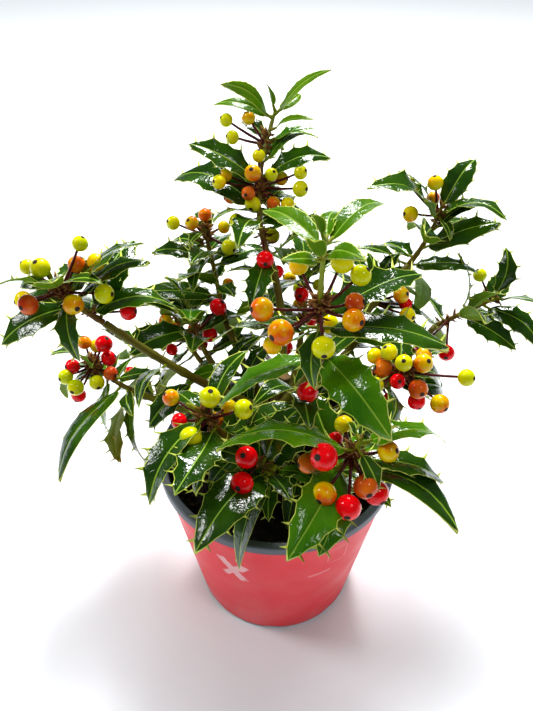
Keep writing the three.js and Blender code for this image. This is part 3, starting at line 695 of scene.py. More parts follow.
# %% A shoot
class Shoot:
    def __init__(self, name, plan):
        self.name, self.plan = name, plan
        self.chance = Chance(plan["seed"])
        self.limb = Limb(*plan["stem"])
        self.leaves, self.berries = [], []

    def leaf_at(self, place, turn, tilt, length, roll=None, limb=None):
        slender = limb is None and place >= self.plan["young"]
        return Leaf(limb or self.limb, place, turn, tilt, length, roll, slender, self.chance)

    def keep_leaf(self, leaf):
        self.leaves.append(leaf)
        crowd.leaves.append(leaf)

    def keep_berry(self, berry):
        self.berries.append(berry)
        crowd.berries.append(berry)

    def grow_planned_berries(self):
        for place, ripe, cluster in self.plan["fruit"]:
            for (x, y, z, radius), ripeness in zip(cluster, ripe):
                self.keep_berry(Berry(self.limb.at(place), (x, y, z), radius, ripeness))

    def grow_planned_leaves(self):
        """A planned leaf always grows, in the first of a few bends and rolls that has room."""
        for planned in self.plan["leaves"]:
            leaf = self.leaf_at(*planned)
            for trial in range(1, TRIALS):
                if crowd.has_room_for_leaf(leaf):
                    break
                leaf = self.leaf_at(*planned)
            self.keep_leaf(leaf)

    def grow_more_berries(self, count, span=FRUIT_SPAN, start=0):
        for number in range(count):
            place = mix(span, number / count)
            ripeness = self.plan["more_ripe"][number % len(self.plan["more_ripe"])]
            for trial in range(TRIALS):
                turn = GOLDEN_TURN * (start + number + trial) + FRUIT_TURN
                direction = leaving(self.limb.heading(place), turn, self.chance.between(BERRY_TILT))
                root = self.limb.at(place)
                centre = root + direction * self.chance.between(BERRY_REACH)
                berry = Berry(root, centre, self.chance.between(BERRY_RADIUS), ripeness)
                if crowd.has_room_for_berry(berry):
                    self.keep_berry(berry)
                    break

    def grow_more_leaves(self, count, span=FILL_SPAN, first_turn=FILL_TURN, limb=None):
        for number in range(count):
            place = mix(span, number / count)
            for trial in range(TRIALS):
                turn = GOLDEN_TURN * (number + trial) + first_turn
                tilt = mix(FILL_TILT, place) + self.chance.between(FILL_SWAY)
                length = mix(FILL_LENGTH, place**2) * self.chance.between(FILL_SHARE)
                leaf = self.leaf_at(place, turn, tilt, length, None, limb)
                if crowd.has_room_for_leaf(leaf) and not crowd.is_shaded_by(leaf):
                    self.keep_leaf(leaf)
                    break


# %% Grow the shoots as the solids do
crowd = Crowd()
shoots = [Shoot(name, plan) for name, plan in SHOOTS.items()]
for shoot in shoots:
    shoot.grow_planned_berries()
for shoot in shoots:
    shoot.grow_planned_leaves()
for shoot in shoots:
    shoot.grow_more_berries(shoot.plan["more_fruit"])
for shoot in shoots:
    shoot.grow_more_leaves(shoot.plan["more_leaves"])
print("as in the solids:", len(crowd.leaves), "leaves,", len(crowd.berries), "berries")

# %% [markdown]
# The solids hold as few leaves as they can. The real crown is fuller, so every shoot now goes
# on by the same rule in the places that are still free, the inner shoots furthest. Each
# bough carries a few leaves on its outer part, and the shoots on the right and at the back
# get more berries. On the two nearest shoots those berries only keep room free while the
# leaves grow, so that the heart of their clusters stays open, and then they are dropped.
#
# `open` lists planned leaves that lie open where the others are folded at the midrib, and
# `ahead` lists berries that swing a few millimetres forward, clear of the leaf beside them.

# %% Grow on to the full crown
EXTRA_LEAVES = {
    "leader": 7, "crown_front": 8, "north_west": 6, "west": 4, "west_low": 4, "south_west": 4,
    "front_low": 1, "south_east": 3, "east": 6, "north_east": 2, "far_east": 2, "mid_east": 7,
    "mid_west": 7, "north": 9, "north_west_low": 7,
}
EXTRA_BERRIES = {
    "leader": 2, "crown_front": 2, "south_east": 2, "east": 2, "mid_east": 2, "north": 2,
    "north_west_low": 1,
}
AIRY = ("crown_front", "south_east")
EXTRA_FRUIT_SPAN, EXTRA_FRUIT_START = (0.35, 0.9), 3
OPEN_FOLD = 0.08
EXTRA_LEAF_SPAN, EXTRA_LEAF_TURN = (0.05, 0.98), 40
BOUGH_LEAVES = 4
BOUGH_SPAN, BOUGH_TURN = (0.35, 1.0), 75

trunk_limb = Limb(*TRUNK_LINE)


def trunk_at(height):
    t = 0.0
    while trunk_limb.at(t)[2] < height:
        t += 0.01
    return trunk_limb.at(t)


for shoot in shoots:
    shoot.bough = Limb(trunk_at(shoot.plan["height"]), shoot.plan["bend"], shoot.plan["stem"][0])
    shoot.kept_berries = len(shoot.berries)
    shoot.grow_more_berries(
        EXTRA_BERRIES.get(shoot.name, 0), EXTRA_FRUIT_SPAN, EXTRA_FRUIT_START
    )
for shoot in shoots:
    shoot.grow_more_leaves(EXTRA_LEAVES[shoot.name], EXTRA_LEAF_SPAN, EXTRA_LEAF_TURN)
    shoot.grow_more_leaves(BOUGH_LEAVES, BOUGH_SPAN, BOUGH_TURN, shoot.bough)
for shoot in shoots:
    if shoot.name in AIRY:
        del shoot.berries[shoot.kept_berries:]
    for number in shoot.plan.get("open", ()):
        shoot.leaves[number].fold = OPEN_FOLD
    for number, reach in shoot.plan.get("ahead", ()):
        shoot.berries[number].move(reach * unit(LIGHT - shoot.berries[number].centre))
all_berries = [berry for shoot in shoots for berry in shoot.berries]
print("in full:", len(crowd.leaves), "leaves,", len(all_berries), "berries")

# %% [markdown]
# ## Joining thousands of small parts
#
# An object for every leaf and stalk would be slow to make and to export. A `Sheaf` collects
# points and faces from many small parts and makes one mesh of them, with a material number on
# each face and a UV place on each corner.

# %% The sheaf
class Sheaf:
    def __init__(self, name, finishes):
        self.name, self.finishes = name, finishes
        self.points, self.faces, self.slots, self.spots = [], [], [], []
        self.count = 0

    def add(self, points, faces, slots, spots=None):
        """faces are rows of four corners; a triangle repeats its last corner."""
        points = np.asarray(points, float)
        self.points.append(points)
        self.faces.append(np.asarray(faces) + self.count)
        self.slots.append(np.broadcast_to(slots, len(faces)))
        self.spots.append(np.zeros((len(points), 2)) if spots is None else np.asarray(spots, float))
        self.count += len(points)

    def build(self):
        points = np.concatenate(self.points) * MM
        faces = np.concatenate(self.faces)
        spots = np.concatenate(self.spots)
        triangle = faces[:, 2] == faces[:, 3]
        sizes = np.where(triangle, 3, 4)
        keep = np.ones(faces.shape, bool)
        keep[triangle, 3] = False
        corners = faces[keep]
        mesh = bpy.data.meshes.new(self.name)
        mesh.vertices.add(len(points))
        mesh.vertices.foreach_set("co", points.ravel())
        mesh.loops.add(len(corners))
        mesh.loops.foreach_set("vertex_index", corners.astype(np.int32))
        mesh.polygons.add(len(faces))
        starts = np.concatenate([[0], np.cumsum(sizes)[:-1]]).astype(np.int32)
        mesh.polygons.foreach_set("loop_start", starts)
        for made in self.finishes:
            mesh.materials.append(made)
        mesh.polygons.foreach_set("material_index", np.concatenate(self.slots).astype(np.int32))
        mesh.update(calc_edges=True)
        mesh.validate()
        layer = mesh.uv_layers.new(name="spot")
        layer.data.foreach_set("uv", spots[corners].astype(np.float32).ravel())
        mesh.shade_smooth()
        triangles = int((sizes - 2).sum())
        print(f"{self.name}: {len(points)} points, {triangles} triangles")
        return put_in_scene(self.name, mesh)


# %% [markdown]
# A tube, a berry, the pot and the compost have the same build: rings of points, and a fan of
# triangles that closes each end. Two functions serve them all, so that every one of them is
# a closed body with its faces turned outward.

# %% Closed rings
def round_turns(sides):
    return np.linspace(0.0, 2 * math.pi, sides, endpoint=False)


def closed_faces(rings, sides, downward=False):
    """Quads between rings of points, then a fan at each end, to the two poles that follow the rings.

    The faces look outward on rings that climb, and with downward on rings that come down.
    """
    ring, side = np.meshgrid(np.arange(rings - 1), np.arange(sides), indexing="ij")
    a, b = ring * sides + side, ring * sides + (side + 1) % sides
    quads = np.stack([a, b, b + sides, a + sides], axis=-1).reshape(-1, 4)
    near, far, last = rings * sides, rings * sides + 1, (rings - 1) * sides
    pairs = [(n, (n + 1) % sides) for n in range(sides)]
    if downward:
        quads, pairs = quads[:, ::-1], [(after, n) for n, after in pairs]
    fans = [(near, after, n, n) for n, after in pairs]
    fans += [(far, last + n, last + after, last + after) for n, after in pairs]
    return np.concatenate([quads, np.array(fans)])


print("five rings of eight points make", len(closed_faces(5, 8)), "faces")


# %% [markdown]
# ## Tubes
#
# Stems, stalks and boughs are all tubes that taper along a curve. A curve object with a round
# bevel would give such tubes too, but plain ones. Here one function sweeps a ring along the
# curve and closes both ends, and a `relief` function may push each point out or in, which is
# how bark gets a shape of its own and not only a bump.

# %% Sweeping a tube
def tube(sheaf, limb, radii, sides, steps, slot, relief=None, first=0.0, end_slot=None):
    """radii and slot are values, or say the value at each share of the limb."""
    shares = np.linspace(first, 1.0, steps + 1)
    slot_at = slot if callable(slot) else lambda share: slot
    points, spots = [], []
    for share in shares:
        across, along = sides_of(limb.heading(share))
        radius = radii(share) if callable(radii) else mix(radii, share)
        for angle in round_turns(sides):
            outward = math.cos(angle) * across + math.sin(angle) * along
            point = limb.at(share) + radius * outward
            if relief:
                point = point + relief(point, share) * outward
            points.append(point)
            spots.append((angle / (2 * math.pi), share))
    points += [limb.at(first), limb.at(1.0)]
    spots += [(0.5, 0.0), (0.5, 1.0)]
    slots = [slot_at(share) for share in shares[:-1] for side in range(sides)]
    slots += [slot_at(0.0)] * sides + [slot_at(1.0) if end_slot is None else end_slot] * sides
    sheaf.add(points, closed_faces(steps + 1, sides), slots, spots)


# %% [markdown]
# ## A holly leaf
#
# A holly leaf is a stiff, arched blade with a long point. Between its spines the margin is
# scooped in a little, each spine is a thin thorn that leans forward, and the margin waves up
# and down from spine to spine. A picture of a leaf on a flat card would be quicker, but it
# looks like paper from the side. So the blade is drawn as a grid: rows run along the leaf with
# extra ones beside each spine, columns run across it with narrow ones for the pale margin and
# for the midrib, which lies in a groove. Only the outermost column moves out into the thorns.
# The upper and lower faces share the margin, so every leaf is one thin closed body.

# %% The outline of a blade
SPINE_ROWS = np.array([0.0, 0.09, 0.5, 0.91])
FIRST_SPINE, LAST_SPINE = 0.1, 0.93
BLADE_SHAPE = (0.58, 0.82)
NARROWEST = (0.55, 0.12)
SLENDER_EDGE = (9, 0.04, 0.5, 0.03)
SMOOTH_EDGE = (4, 0.02, 0.4, 0.03)
SPINES_AT_LEAST, SPINE_SPACING = 2.4, 12
THORN_AT_LEAST, THORN_GAIN = 1.3, 0.04
SCOOP, WAVE = (0.1, 0.24), (0.02, 0.16)


def blade_outline(leaf, chance):
    """By row: the share along the blade, the half width, the thorn's length and the margin's wave."""
    spines, scoop, thorn, wave = SLENDER_EDGE if leaf.slender else SMOOTH_EDGE
    if leaf.spiny and not leaf.slender:
        spines = int(SPINES_AT_LEAST + leaf.length / SPINE_SPACING)
        thorn = THORN_AT_LEAST + THORN_GAIN * leaf.length
        scoop, wave = mix(SCOOP, chance.next()), mix(WAVE, chance.next())
    knots = np.concatenate([[0.0], np.linspace(FIRST_SPINE, LAST_SPINE, spines), [1.0]])
    shares = np.append((knots[:-1, None] + np.diff(knots)[:, None] * SPINE_ROWS).ravel(), 1.0)
    hollow = np.append(np.tile(4 * SPINE_ROWS * (1 - SPINE_ROWS), spines + 1), 0.0)
    thorns = thorn * np.append(np.tile(SPINE_ROWS == 0.0, spines + 1), False)
    thorns[0] = 0.0
    body = shares ** BLADE_SHAPE[0] * (1 - shares) ** BLADE_SHAPE[1]
    body = body / body.max()
    widths = leaf.half * body * (1 - scoop * hollow * (shares > FIRST_SPINE))
    widths = np.maximum(widths, mix(NARROWEST, shares))
    turns = np.arange(len(shares)) / len(SPINE_ROWS)
    return shares, widths, thorns, leaf.half * wave * np.cos(math.pi * turns) * body**0.5


print("rows along the sample leaf:", len(blade_outline(sample_leaf, Chance(1))[0]))

# %% [markdown]
# Across the blade, `u` runs from -1 at one margin through nought at the midrib to 1 at the
# other. The grid is then bent by small chances of its own: the sides curl, the blade twists
# and sweeps aside, and its outer half droops.

# %% The upper face of a blade
MARGIN_WIDTH, MARGIN_LIMITS = 0.36, (0.3, 0.97)
MIDRIB_WIDTH, MIDRIB_LIMITS = 0.3, (0.02, 0.25)
MIDRIB_GROOVE = 0.14
BETWEEN = (0.33, 0.7)
THORN_OUT, THORN_FORWARD, THORN_UP = 0.95, 0.65, 0.5
CURL, CURL_SHAPE = (0.05, 0.22), 2.5
TWIST, SWEEP = (-14, 14), 0.1
DROOP, SLENDER_DROOP = (0.02, 0.16), 0.3


def blade_face(leaf, chance):
    """The blade's points in rows and columns, and where they are along and across it."""
    shares, widths, thorns, wave = (row[:, None] for row in blade_outline(leaf, chance))
    width = np.maximum(widths, 0.5)
    margin = np.clip(1 - MARGIN_WIDTH / width, *MARGIN_LIMITS)
    rib = np.clip(MIDRIB_WIDTH / width, *MIDRIB_LIMITS)
    right = [rib, *(mix((rib, margin), part) for part in BETWEEN), margin, np.ones_like(rib)]
    u = np.concatenate([-side for side in right[::-1]] + [np.zeros_like(rib)] + right, axis=1)
    outermost = np.abs(u) == 1.0
    share = shares + outermost * thorns * THORN_FORWARD / leaf.blade
    across = u * widths + outermost * np.sign(u) * thorns * THORN_OUT
    curl = mix(CURL, chance.next()) * leaf.half
    twist = math.radians(chance.between(TWIST))
    sweep = (chance.next() - 0.5) * SWEEP * leaf.blade
    droop = mix(DROOP, chance.next()) * (SLENDER_DROOP if leaf.slender else 1.0) * leaf.blade
    above = (wave - curl) * np.abs(u) ** CURL_SHAPE + np.sin(twist * share * 2) * across
    above = above - MIDRIB_GROOVE * (u == 0)
    above = above + outermost * thorns * THORN_UP - droop * np.clip(share * 2 - 1, 0, 1) ** 2
    points = leaf.points(share, across + sweep * 4 * share * (1 - share), above)
    return points, u, np.broadcast_to(shares, u.shape)


sample_grid = blade_face(sample_leaf, Chance(1))[1].shape
print("rows and columns of its grid:", sample_grid)


# %% Faces and finishes of a blade
OLD, GREEN, YOUNG, MARGIN, MIDRIB, UNDER = range(6)


def blade_faces(rows, columns, kind):
    """The upper faces, the lower ones and the two ends, and the slot of each."""
    upper = np.arange(rows * columns).reshape(rows, columns)
    lower = upper.copy()
    lower[:, 1:-1] = rows * columns + np.arange(rows * (columns - 2)).reshape(rows, columns - 2)
    top = np.stack([upper[:-1, :-1], upper[:-1, 1:], upper[1:, 1:], upper[1:, :-1]], -1)
    under = np.stack([lower[:-1, :-1], lower[1:, :-1], lower[1:, 1:], lower[:-1, 1:]], -1)
    foot = np.stack([lower[0, :-1], lower[0, 1:], upper[0, 1:], upper[0, :-1]], -1)
    tip = np.stack([upper[-1, :-1], upper[-1, 1:], lower[-1, 1:], lower[-1, :-1]], -1)
    for end in (foot, tip):
        end[0], end[-1] = end[0, [0, 1, 2, 2]], end[-1, [0, 1, 3, 3]]
    strips = np.full((rows - 1, columns - 1), kind)
    middle = (columns - 1) // 2
    strips[:, [0, -1]] = MARGIN
    strips[:, [middle - 1, middle]] = MIDRIB
    below = np.where(strips == MARGIN, MARGIN, UNDER)
    faces = np.concatenate([part.reshape(-1, 4) for part in (top, under, foot, tip)])
    return faces, np.concatenate([strips.ravel(), below.ravel(), np.full(2 * len(foot), MARGIN)])


print("faces of the sample leaf:", len(blade_faces(*sample_grid, OLD)[0]))


# %% Drawing one leaf into a sheaf
BLADE_THICKNESS, THINNING = 0.3, 0.3


def draw_leaf(sheaf, leaf, kind, chance):
    top, u, shares = blade_face(leaf, chance)
    thickness = BLADE_THICKNESS * (1 - np.abs(u[:, 1:-1])) ** THINNING
    below = top[:, 1:-1] - thickness[..., None] * leaf.facing
    spots = np.stack([u * 0.5 + 0.5, shares], axis=-1)
    faces, slots = blade_faces(*u.shape, kind)
    sheaf.add(
        np.concatenate([top.reshape(-1, 3), below.reshape(-1, 3)]), faces, slots,
        np.concatenate([spots.reshape(-1, 2), spots[:, 1:-1].reshape(-1, 2)]),
    )


# %% [markdown]
# ## Leaf finishes
#
# Old leaves are nearly black-green and glossy, younger ones a fresher green, and the top tufts
# are yellow-green. All share the same net of veins. The vein effect reads the leaf's own UV
# place: side veins leave the midrib at a slant, and two noises dent the blade, a broad one
# that quilts it and a fine one that breaks up the shine.

# %% Veins
VEIN_WOBBLE, VEIN_WIDTH, VEIN_DEPTH = 0.06, 0.07, -0.12
QUILTING, FINE_DENTS, DENT_DEPTH = 0.9, 0.7, 0.0006
WOBBLE_SCALE, TONE_SCALE, QUILT_SCALE, DENT_SCALE = 160.0, 45.0, 300.0, 800.0


def veins_recipe(graph, given):
    spot = graph.add("ShaderNodeSeparateXYZ", {"Vector": given["Spot"]}).outputs
    across = graph.maths("ABSOLUTE", graph.maths("SUBTRACT", spot["X"], 0.5))
    slant = graph.maths("MULTIPLY", across, given["Slant"])
    wobble = graph.maths("MULTIPLY", graph.noise(graph.place(), WOBBLE_SCALE), VEIN_WOBBLE)
    run = graph.maths("ADD", graph.maths("SUBTRACT", spot["Y"], slant), wobble)
    turn = graph.maths("FRACT", graph.maths("MULTIPLY", run, given["Count"]))
    line = graph.maths("ABSOLUTE", graph.maths("SUBTRACT", turn, 0.5))
    side_vein = graph.step(line, 0.0, VEIN_WIDTH, 1.0, 0.0)
    quilt = graph.maths("MULTIPLY", graph.noise(graph.place(), QUILT_SCALE, 2.0), QUILTING)
    height = graph.maths("MULTIPLY_ADD", side_vein, VEIN_DEPTH, quilt)
    dents = graph.noise(graph.place(), DENT_SCALE, 2.0)
    height = graph.maths("MULTIPLY_ADD", dents, FINE_DENTS, height)
    tone = graph.step(graph.noise(graph.place(), TONE_SCALE, 2.0), *MIDDLE)
    body = graph.blend(tone, given["Shade"], given["Light"])
    drawn = graph.maths("MULTIPLY", side_vein, given["Vein strength"])
    return {
        "Colour": graph.blend(drawn, body, given["Vein"]),
        "Normal": graph.bump(height, given["Relief"], DENT_DEPTH),
    }


veins = effect(
    "leaf veins",
    {
        "Spot": (VECTOR, (0.0, 0.0, 0.0)),
        "Shade": (COLOUR, (0.01, 0.04, 0.01, 1.0)),
        "Light": (COLOUR, (0.02, 0.08, 0.02, 1.0)),
        "Vein": (COLOUR, (0.1, 0.2, 0.05, 1.0)),
        "Vein strength": (NUMBER, 0.3),
        "Slant": (NUMBER, 0.5),
        "Count": (NUMBER, 7.0),
        "Relief": (NUMBER, 0.4),
    },
    {"Colour": COLOUR, "Normal": VECTOR},
    veins_recipe,
)
print("leaf veins take and give:", [socket.name for socket in veins.interface.items_tree])

# %% Leaf materials
WAX_IOR = 1.48
WET_SCALE = 110.0


def leaf_finish(name, shade, light, vein, roughness, gloss, strength=0.16):
    def recipe(graph):
        spot = graph.add("ShaderNodeUVMap", uv_map="spot").outputs["UV"]
        net = graph.use(veins, {
            "Spot": spot, "Shade": colour(*shade), "Light": colour(*light), "Vein": colour(*vein),
            "Vein strength": strength,
        })
        wet = graph.use(patches, {"Scale": WET_SCALE, "Low": roughness[0], "High": roughness[1]})
        return {"Base Color": net["Colour"], "Normal": net["Normal"], "Roughness": wet["Value"]}

    plain = {"Base Color": colour(*light), "Specular IOR Level": gloss, "IOR": WAX_IOR}
    return finish(name, plain, recipe)


leaf_finishes = [
    leaf_finish("old leaf", (20, 50, 4), (42, 78, 6), (66, 100, 22), (0.05, 0.17), 0.5),
    leaf_finish("green leaf", (42, 92, 2), (72, 122, 4), (104, 146, 30), (0.06, 0.18), 0.45),
    leaf_finish("young leaf", (56, 98, 2), (84, 124, 6), (122, 152, 34), (0.12, 0.28), 0.25),
    leaf_finish("leaf margin", (170, 186, 54), (204, 210, 96), (200, 200, 120), (0.35, 0.5), 0.3, 0.0),
    leaf_finish("leaf midrib", (108, 144, 26), (140, 170, 48), (140, 160, 80), (0.3, 0.45), 0.3, 0.0),
    leaf_finish("leaf underside", (84, 124, 12), (108, 146, 22), (132, 162, 60), (0.5, 0.65), 0.1, 0.4),
]
print("leaf finishes:", [made.name for made in leaf_finishes])

# %% [markdown]
# ## All the leaves
#
# The slender leaves at the tips are young ones. Of the planned leaves the ones in `fresh` are
# a lighter green, and of the others about one in five is, dealt out by chance. Three pieces
# hold them, so that none gets too heavy.

# %% Draw the leaves
FRESH_SHARE = 0.2
LEAF_PIECES = 3
LEAF_SEED = 500


def leaf_kind(shoot, number, chance):
    by_chance = number >= len(shoot.plan["leaves"]) and chance.next() < FRESH_SHARE
    fresh = by_chance or number in shoot.plan.get("fresh", ())
    return YOUNG if shoot.leaves[number].slender else GREEN if fresh else OLD


for piece_number in range(LEAF_PIECES):
    group = shoots[piece_number::LEAF_PIECES]
    sheaf = Sheaf(f"leaves_{piece_number + 1}", leaf_finishes)
    for shoot in group:
        dealing = Chance(shoot.plan["seed"] + LEAF_SEED)
        for number, leaf in enumerate(shoot.leaves):
            draw_leaf(sheaf, leaf, leaf_kind(shoot, number, dealing), dealing)
    piece = sheaf.build()
    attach(piece, "root")
    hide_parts(*[f"{shoot.name}_foliage" for shoot in group])

# %% [markdown]
# ## Berries
#
# Holly ripens unevenly, so one cluster shows green, yellow, orange and red at once. Each
# berry is a slightly flattened ball. The far end carries the dark scar of the flower, on a
# low raised rim, and the near end sits on its stalk. The ball is turned up a little from the
# line of the stalk, towards the light. A ready-made sphere spaces its rings evenly, so the
# rings are made here, with narrow ones where the scar needs its edge.

# %% Berry finishes
def berry_finish(name, first, second, scale=220.0, softness=0.18):
    def recipe(graph):
        skin = graph.use(mottle, {
            "First": colour(*first), "Second": colour(*second), "Scale": scale, "Softness": softness,
        })
        shine = graph.use(patches, {"Scale": 200.0, "Low": 0.1, "High": 0.22})
        fine = graph.use(grain, {"Scale": 1500.0, "Strength": 0.06})
        return {"Base Color": skin["Colour"], "Roughness": shine["Value"], "Normal": fine["Normal"]}

    plain = {
        "Base Color": colour(*first), "Specular IOR Level": 0.2, "Coat Weight": 0.15,
        "Coat Roughness": 0.04, "Subsurface Weight": 0.06,
        "Subsurface Radius": (0.002, 0.001, 0.0004), "Subsurface Scale": 0.3,
    }
    return finish(name, plain, recipe)


berry_finishes = [
    berry_finish("green berry", (182, 200, 0), (226, 214, 2), 120.0, 0.2),
    berry_finish("yellow berry", (228, 222, 0), (244, 184, 0), 120.0, 0.14),
    berry_finish("orange berry", (222, 192, 0), (216, 92, 2), 120.0, 0.12),
    berry_finish("dull red berry", (182, 34, 16), (218, 112, 16), 120.0),
    berry_finish("red berry", (250, 0, 14), (208, 0, 10), softness=0.3),
    finish("berry scar", {"Base Color": colour(44, 22, 12), "Roughness": 0.8}),
]
print("berry finishes:", [made.name for made in berry_finishes])

# %% Draw the berries
RIPENESS = {"g": 0, "y": 1, "o": 2, "d": 3, "r": 4}
SCAR = 5
SCAR_LIFT, SCAR_RIM = 0.5, 0.05
BERRY_SIDES, BERRY_RINGS = 16, 10
SCAR_BENDS, SKIN_BENDS = [0.16, 0.26], (0.4, math.pi - 0.25)
FLATTENED = 0.95
POLES = np.array([[0.99], [-0.97]])


def draw_berry(sheaf, berry):
    """Rings come down from the scar; each bend is the ring's angle from the berry's axis."""
    axis = unit(berry.direction + SCAR_LIFT * unit(LIGHT - berry.centre))
    across, along = sides_of(axis)
    bends = np.concatenate([SCAR_BENDS, np.linspace(*SKIN_BENDS, BERRY_RINGS - len(SCAR_BENDS))])
    height = np.cos(bends) * FLATTENED
    height[0] += SCAR_RIM
    angles = round_turns(BERRY_SIDES)[:, None]
    outward = np.cos(angles) * across + np.sin(angles) * along
    rings = height[:, None, None] * axis + np.sin(bends)[:, None, None] * outward
    points = berry.centre + berry.radius * np.concatenate([rings.reshape(-1, 3), POLES * axis])
    faces = closed_faces(BERRY_RINGS, BERRY_SIDES, downward=True)
    slots = np.full(len(faces), RIPENESS[berry.ripeness])
    slots[:BERRY_SIDES] = slots[-2 * BERRY_SIDES:-BERRY_SIDES] = SCAR
    sheaf.add(points, faces, slots)


berry_sheaf = Sheaf("berries", berry_finishes)
for berry in all_berries:
    draw_berry(berry_sheaf, berry)
berries = berry_sheaf.build()
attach(berries, "root")

# %% [markdown]
# ## Stems, stalks and bud scales
#
# New wood is green and flushes to dark red-brown where the sun reaches it, and the berry
# stalks are darker still. Where a cluster leaves the stem there is a tuft of dry brown bud
# scales. Everything here belongs to the foliage masses, so it is one piece beside the leaves.

# %% Stem materials
BARK_SOFTNESS, BARK_GRAIN = 0.2, 900.0


def stem_finish(name, first, second, scale, roughness, strength, coat=0.0):
    def recipe(graph):
        skin = graph.use(mottle, {
            "First": colour(*first), "Second": colour(*second), "Scale": scale,
            "Softness": BARK_SOFTNESS,
        })
        fine = graph.use(grain, {"Scale": BARK_GRAIN, "Strength": strength})
        return {"Base Color": skin["Colour"], "Normal": fine["Normal"]}

    plain = {
        "Base Color": colour(*first), "Roughness": roughness, "Coat Weight": coat,
        "Specular IOR Level": 0.2,
    }
    return finish(name, plain, recipe)


NEW_WOOD, BERRY_STALK, GREEN_STALK, SCALE = range(4)
stem_finishes = [
    stem_finish("new wood", (112, 102, 6), (88, 56, 8), 90.0, 0.5, 0.3),
    stem_finish("berry stalk", (86, 10, 18), (64, 18, 10), 150.0, 0.4, 0.2, 0.1),
    stem_finish("leaf stalk", (116, 138, 2), (116, 112, 6), 130.0, 0.45, 0.2, 0.1),
    stem_finish("bud scale", (158, 112, 56), (84, 44, 22), 500.0, 0.8, 0.5),
]
print("stem finishes:", [made.name for made in stem_finishes])


# %% Stems and their knobs
def bumpy(rings, height, width, roughness, scale):
    """A relief with rings at even steps along a limb, over a soft noise."""
    def relief(point, share):
        away = abs((share * rings) % 1 - 0.5)
        return height * max(0.0, width - away) / width + roughness * noise.noise(Vector(point) * scale)

    return relief


STEM_SIDES, STEM_STEPS = 10, 28
GREEN_FROM = 0.8
stem_relief = bumpy(rings=7, height=0.25, width=0.12, roughness=0.16, scale=0.6)


def draw_stem(sheaf, shoot):
    gap = CLEARANCE / np.linalg.norm(shoot.limb.pull - shoot.limb.foot) / 2

    def skin_at(share):
        return GREEN_STALK if share > shoot.plan.get("green_from", GREEN_FROM) else NEW_WOOD

    radii = (STEM_RADIUS, STEM_TIP_RADIUS)
    tube(sheaf, shoot.limb, radii, STEM_SIDES, STEM_STEPS, skin_at, stem_relief, gap)


# %% [markdown]
# A stalk is a thin tube that sags a little between its two ends. A bud scale is smaller than
# a grain of rice, so eight faces and a foot are enough: four corners at the stem, four wider
# ones half way, and a point.

# %% Stalks and bud scales
STALK_SIDES, STALK_STEPS = 6, 4
SCALE_TURN, SCALE_TILT = 30, (35, 110)
SCALE_LENGTH, SCALE_SPAN, SCALE_OUT = (2.4, 6.6), (-4.6, 4.6), 0.9
FOOT_HALF, MIDDLE_HALF, MIDDLE_DEPTH, TIP_LIFT = 0.5, 0.75, 0.25, 0.3
SCALE_FACES = np.array(
    [(3, 2, 1, 0)]
    + [(n, (n + 1) % 4, (n + 1) % 4 + 4, n + 4) for n in range(4)]
    + [(4 + n, 4 + (n + 1) % 4, 8, 8) for n in range(4)]
)
print("faces of a bud scale:", len(SCALE_FACES))


def draw_stalk(sheaf, root, end, sag, radii, slot):
    limb = Limb(root, (root + end) / 2 - sag * UP, end)
    tube(sheaf, limb, radii, STALK_SIDES, STALK_STEPS, slot)


def draw_scales(sheaf, root, heading, chance, count):
    """A tuft of small pointed scales round a stem."""
    for number in range(count):
        turn = GOLDEN_TURN * number + SCALE_TURN * chance.next()
        way = leaving(heading, turn, mix(SCALE_TILT, chance.next()))
        across, along = sides_of(way)
        size = mix(SCALE_LENGTH, chance.next())
        start = root + way * SCALE_OUT + heading * chance.between(SCALE_SPAN)
        middle = start + way * size * 0.5
        points = [start + side * FOOT_HALF * way_out for side in (1, -1) for way_out in (across, along)]
        points += [
            middle + side * half * way_out for side in (1, -1)
            for half, way_out in ((MIDDLE_HALF, across), (MIDDLE_DEPTH, along))
        ]
        sheaf.add([*points, start + way * size + TIP_LIFT * UP], SCALE_FACES, SCALE)


# %% Draw stems, stalks and scales
TUFT_SEED = 900
SCALES_PER_BERRY = 9
LEAF_STALK_RADII, LEAF_STALK_SAG = (1.0, 0.6), 0.25
BERRY_STALK_RADII, BERRY_STALK_SAG = (0.8, 0.6), 0.5
STALK_INTO_BLADE, STALK_UNDER_BLADE, STALK_INTO_BERRY = 0.04, -0.15, 0.93

stem_sheaf = Sheaf("stems_and_stalks", stem_finishes)
for shoot in shoots:
    tufts = Chance(shoot.plan["seed"] + TUFT_SEED)
    draw_stem(stem_sheaf, shoot)
    for leaf in shoot.leaves:
        end = leaf.points(STALK_INTO_BLADE, 0.0, STALK_UNDER_BLADE)
        draw_stalk(stem_sheaf, leaf.root, end, LEAF_STALK_SAG, LEAF_STALK_RADII, GREEN_STALK)
    for berry in shoot.berries:
        end = berry.centre - berry.direction * berry.radius * STALK_INTO_BERRY
        draw_stalk(stem_sheaf, berry.root, end, BERRY_STALK_SAG, BERRY_STALK_RADII, BERRY_STALK)
    for place, ripe, cluster in shoot.plan["fruit"]:
        root, heading = shoot.limb.at(place), shoot.limb.heading(place)
        draw_scales(stem_sheaf, root, heading, tufts, SCALES_PER_BERRY * len(cluster))
stems = stem_sheaf.build()
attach(stems, "root")

# %% [markdown]
# ## Trunk and boughs
#
# The trunk is short and was pruned, so it ends in a pale cut. Its bark has low ridges that
# are real shape here: each point of the tube moves in or out by a noise. The boughs are
# smoother and greener, with a ring wherever a leaf once grew.

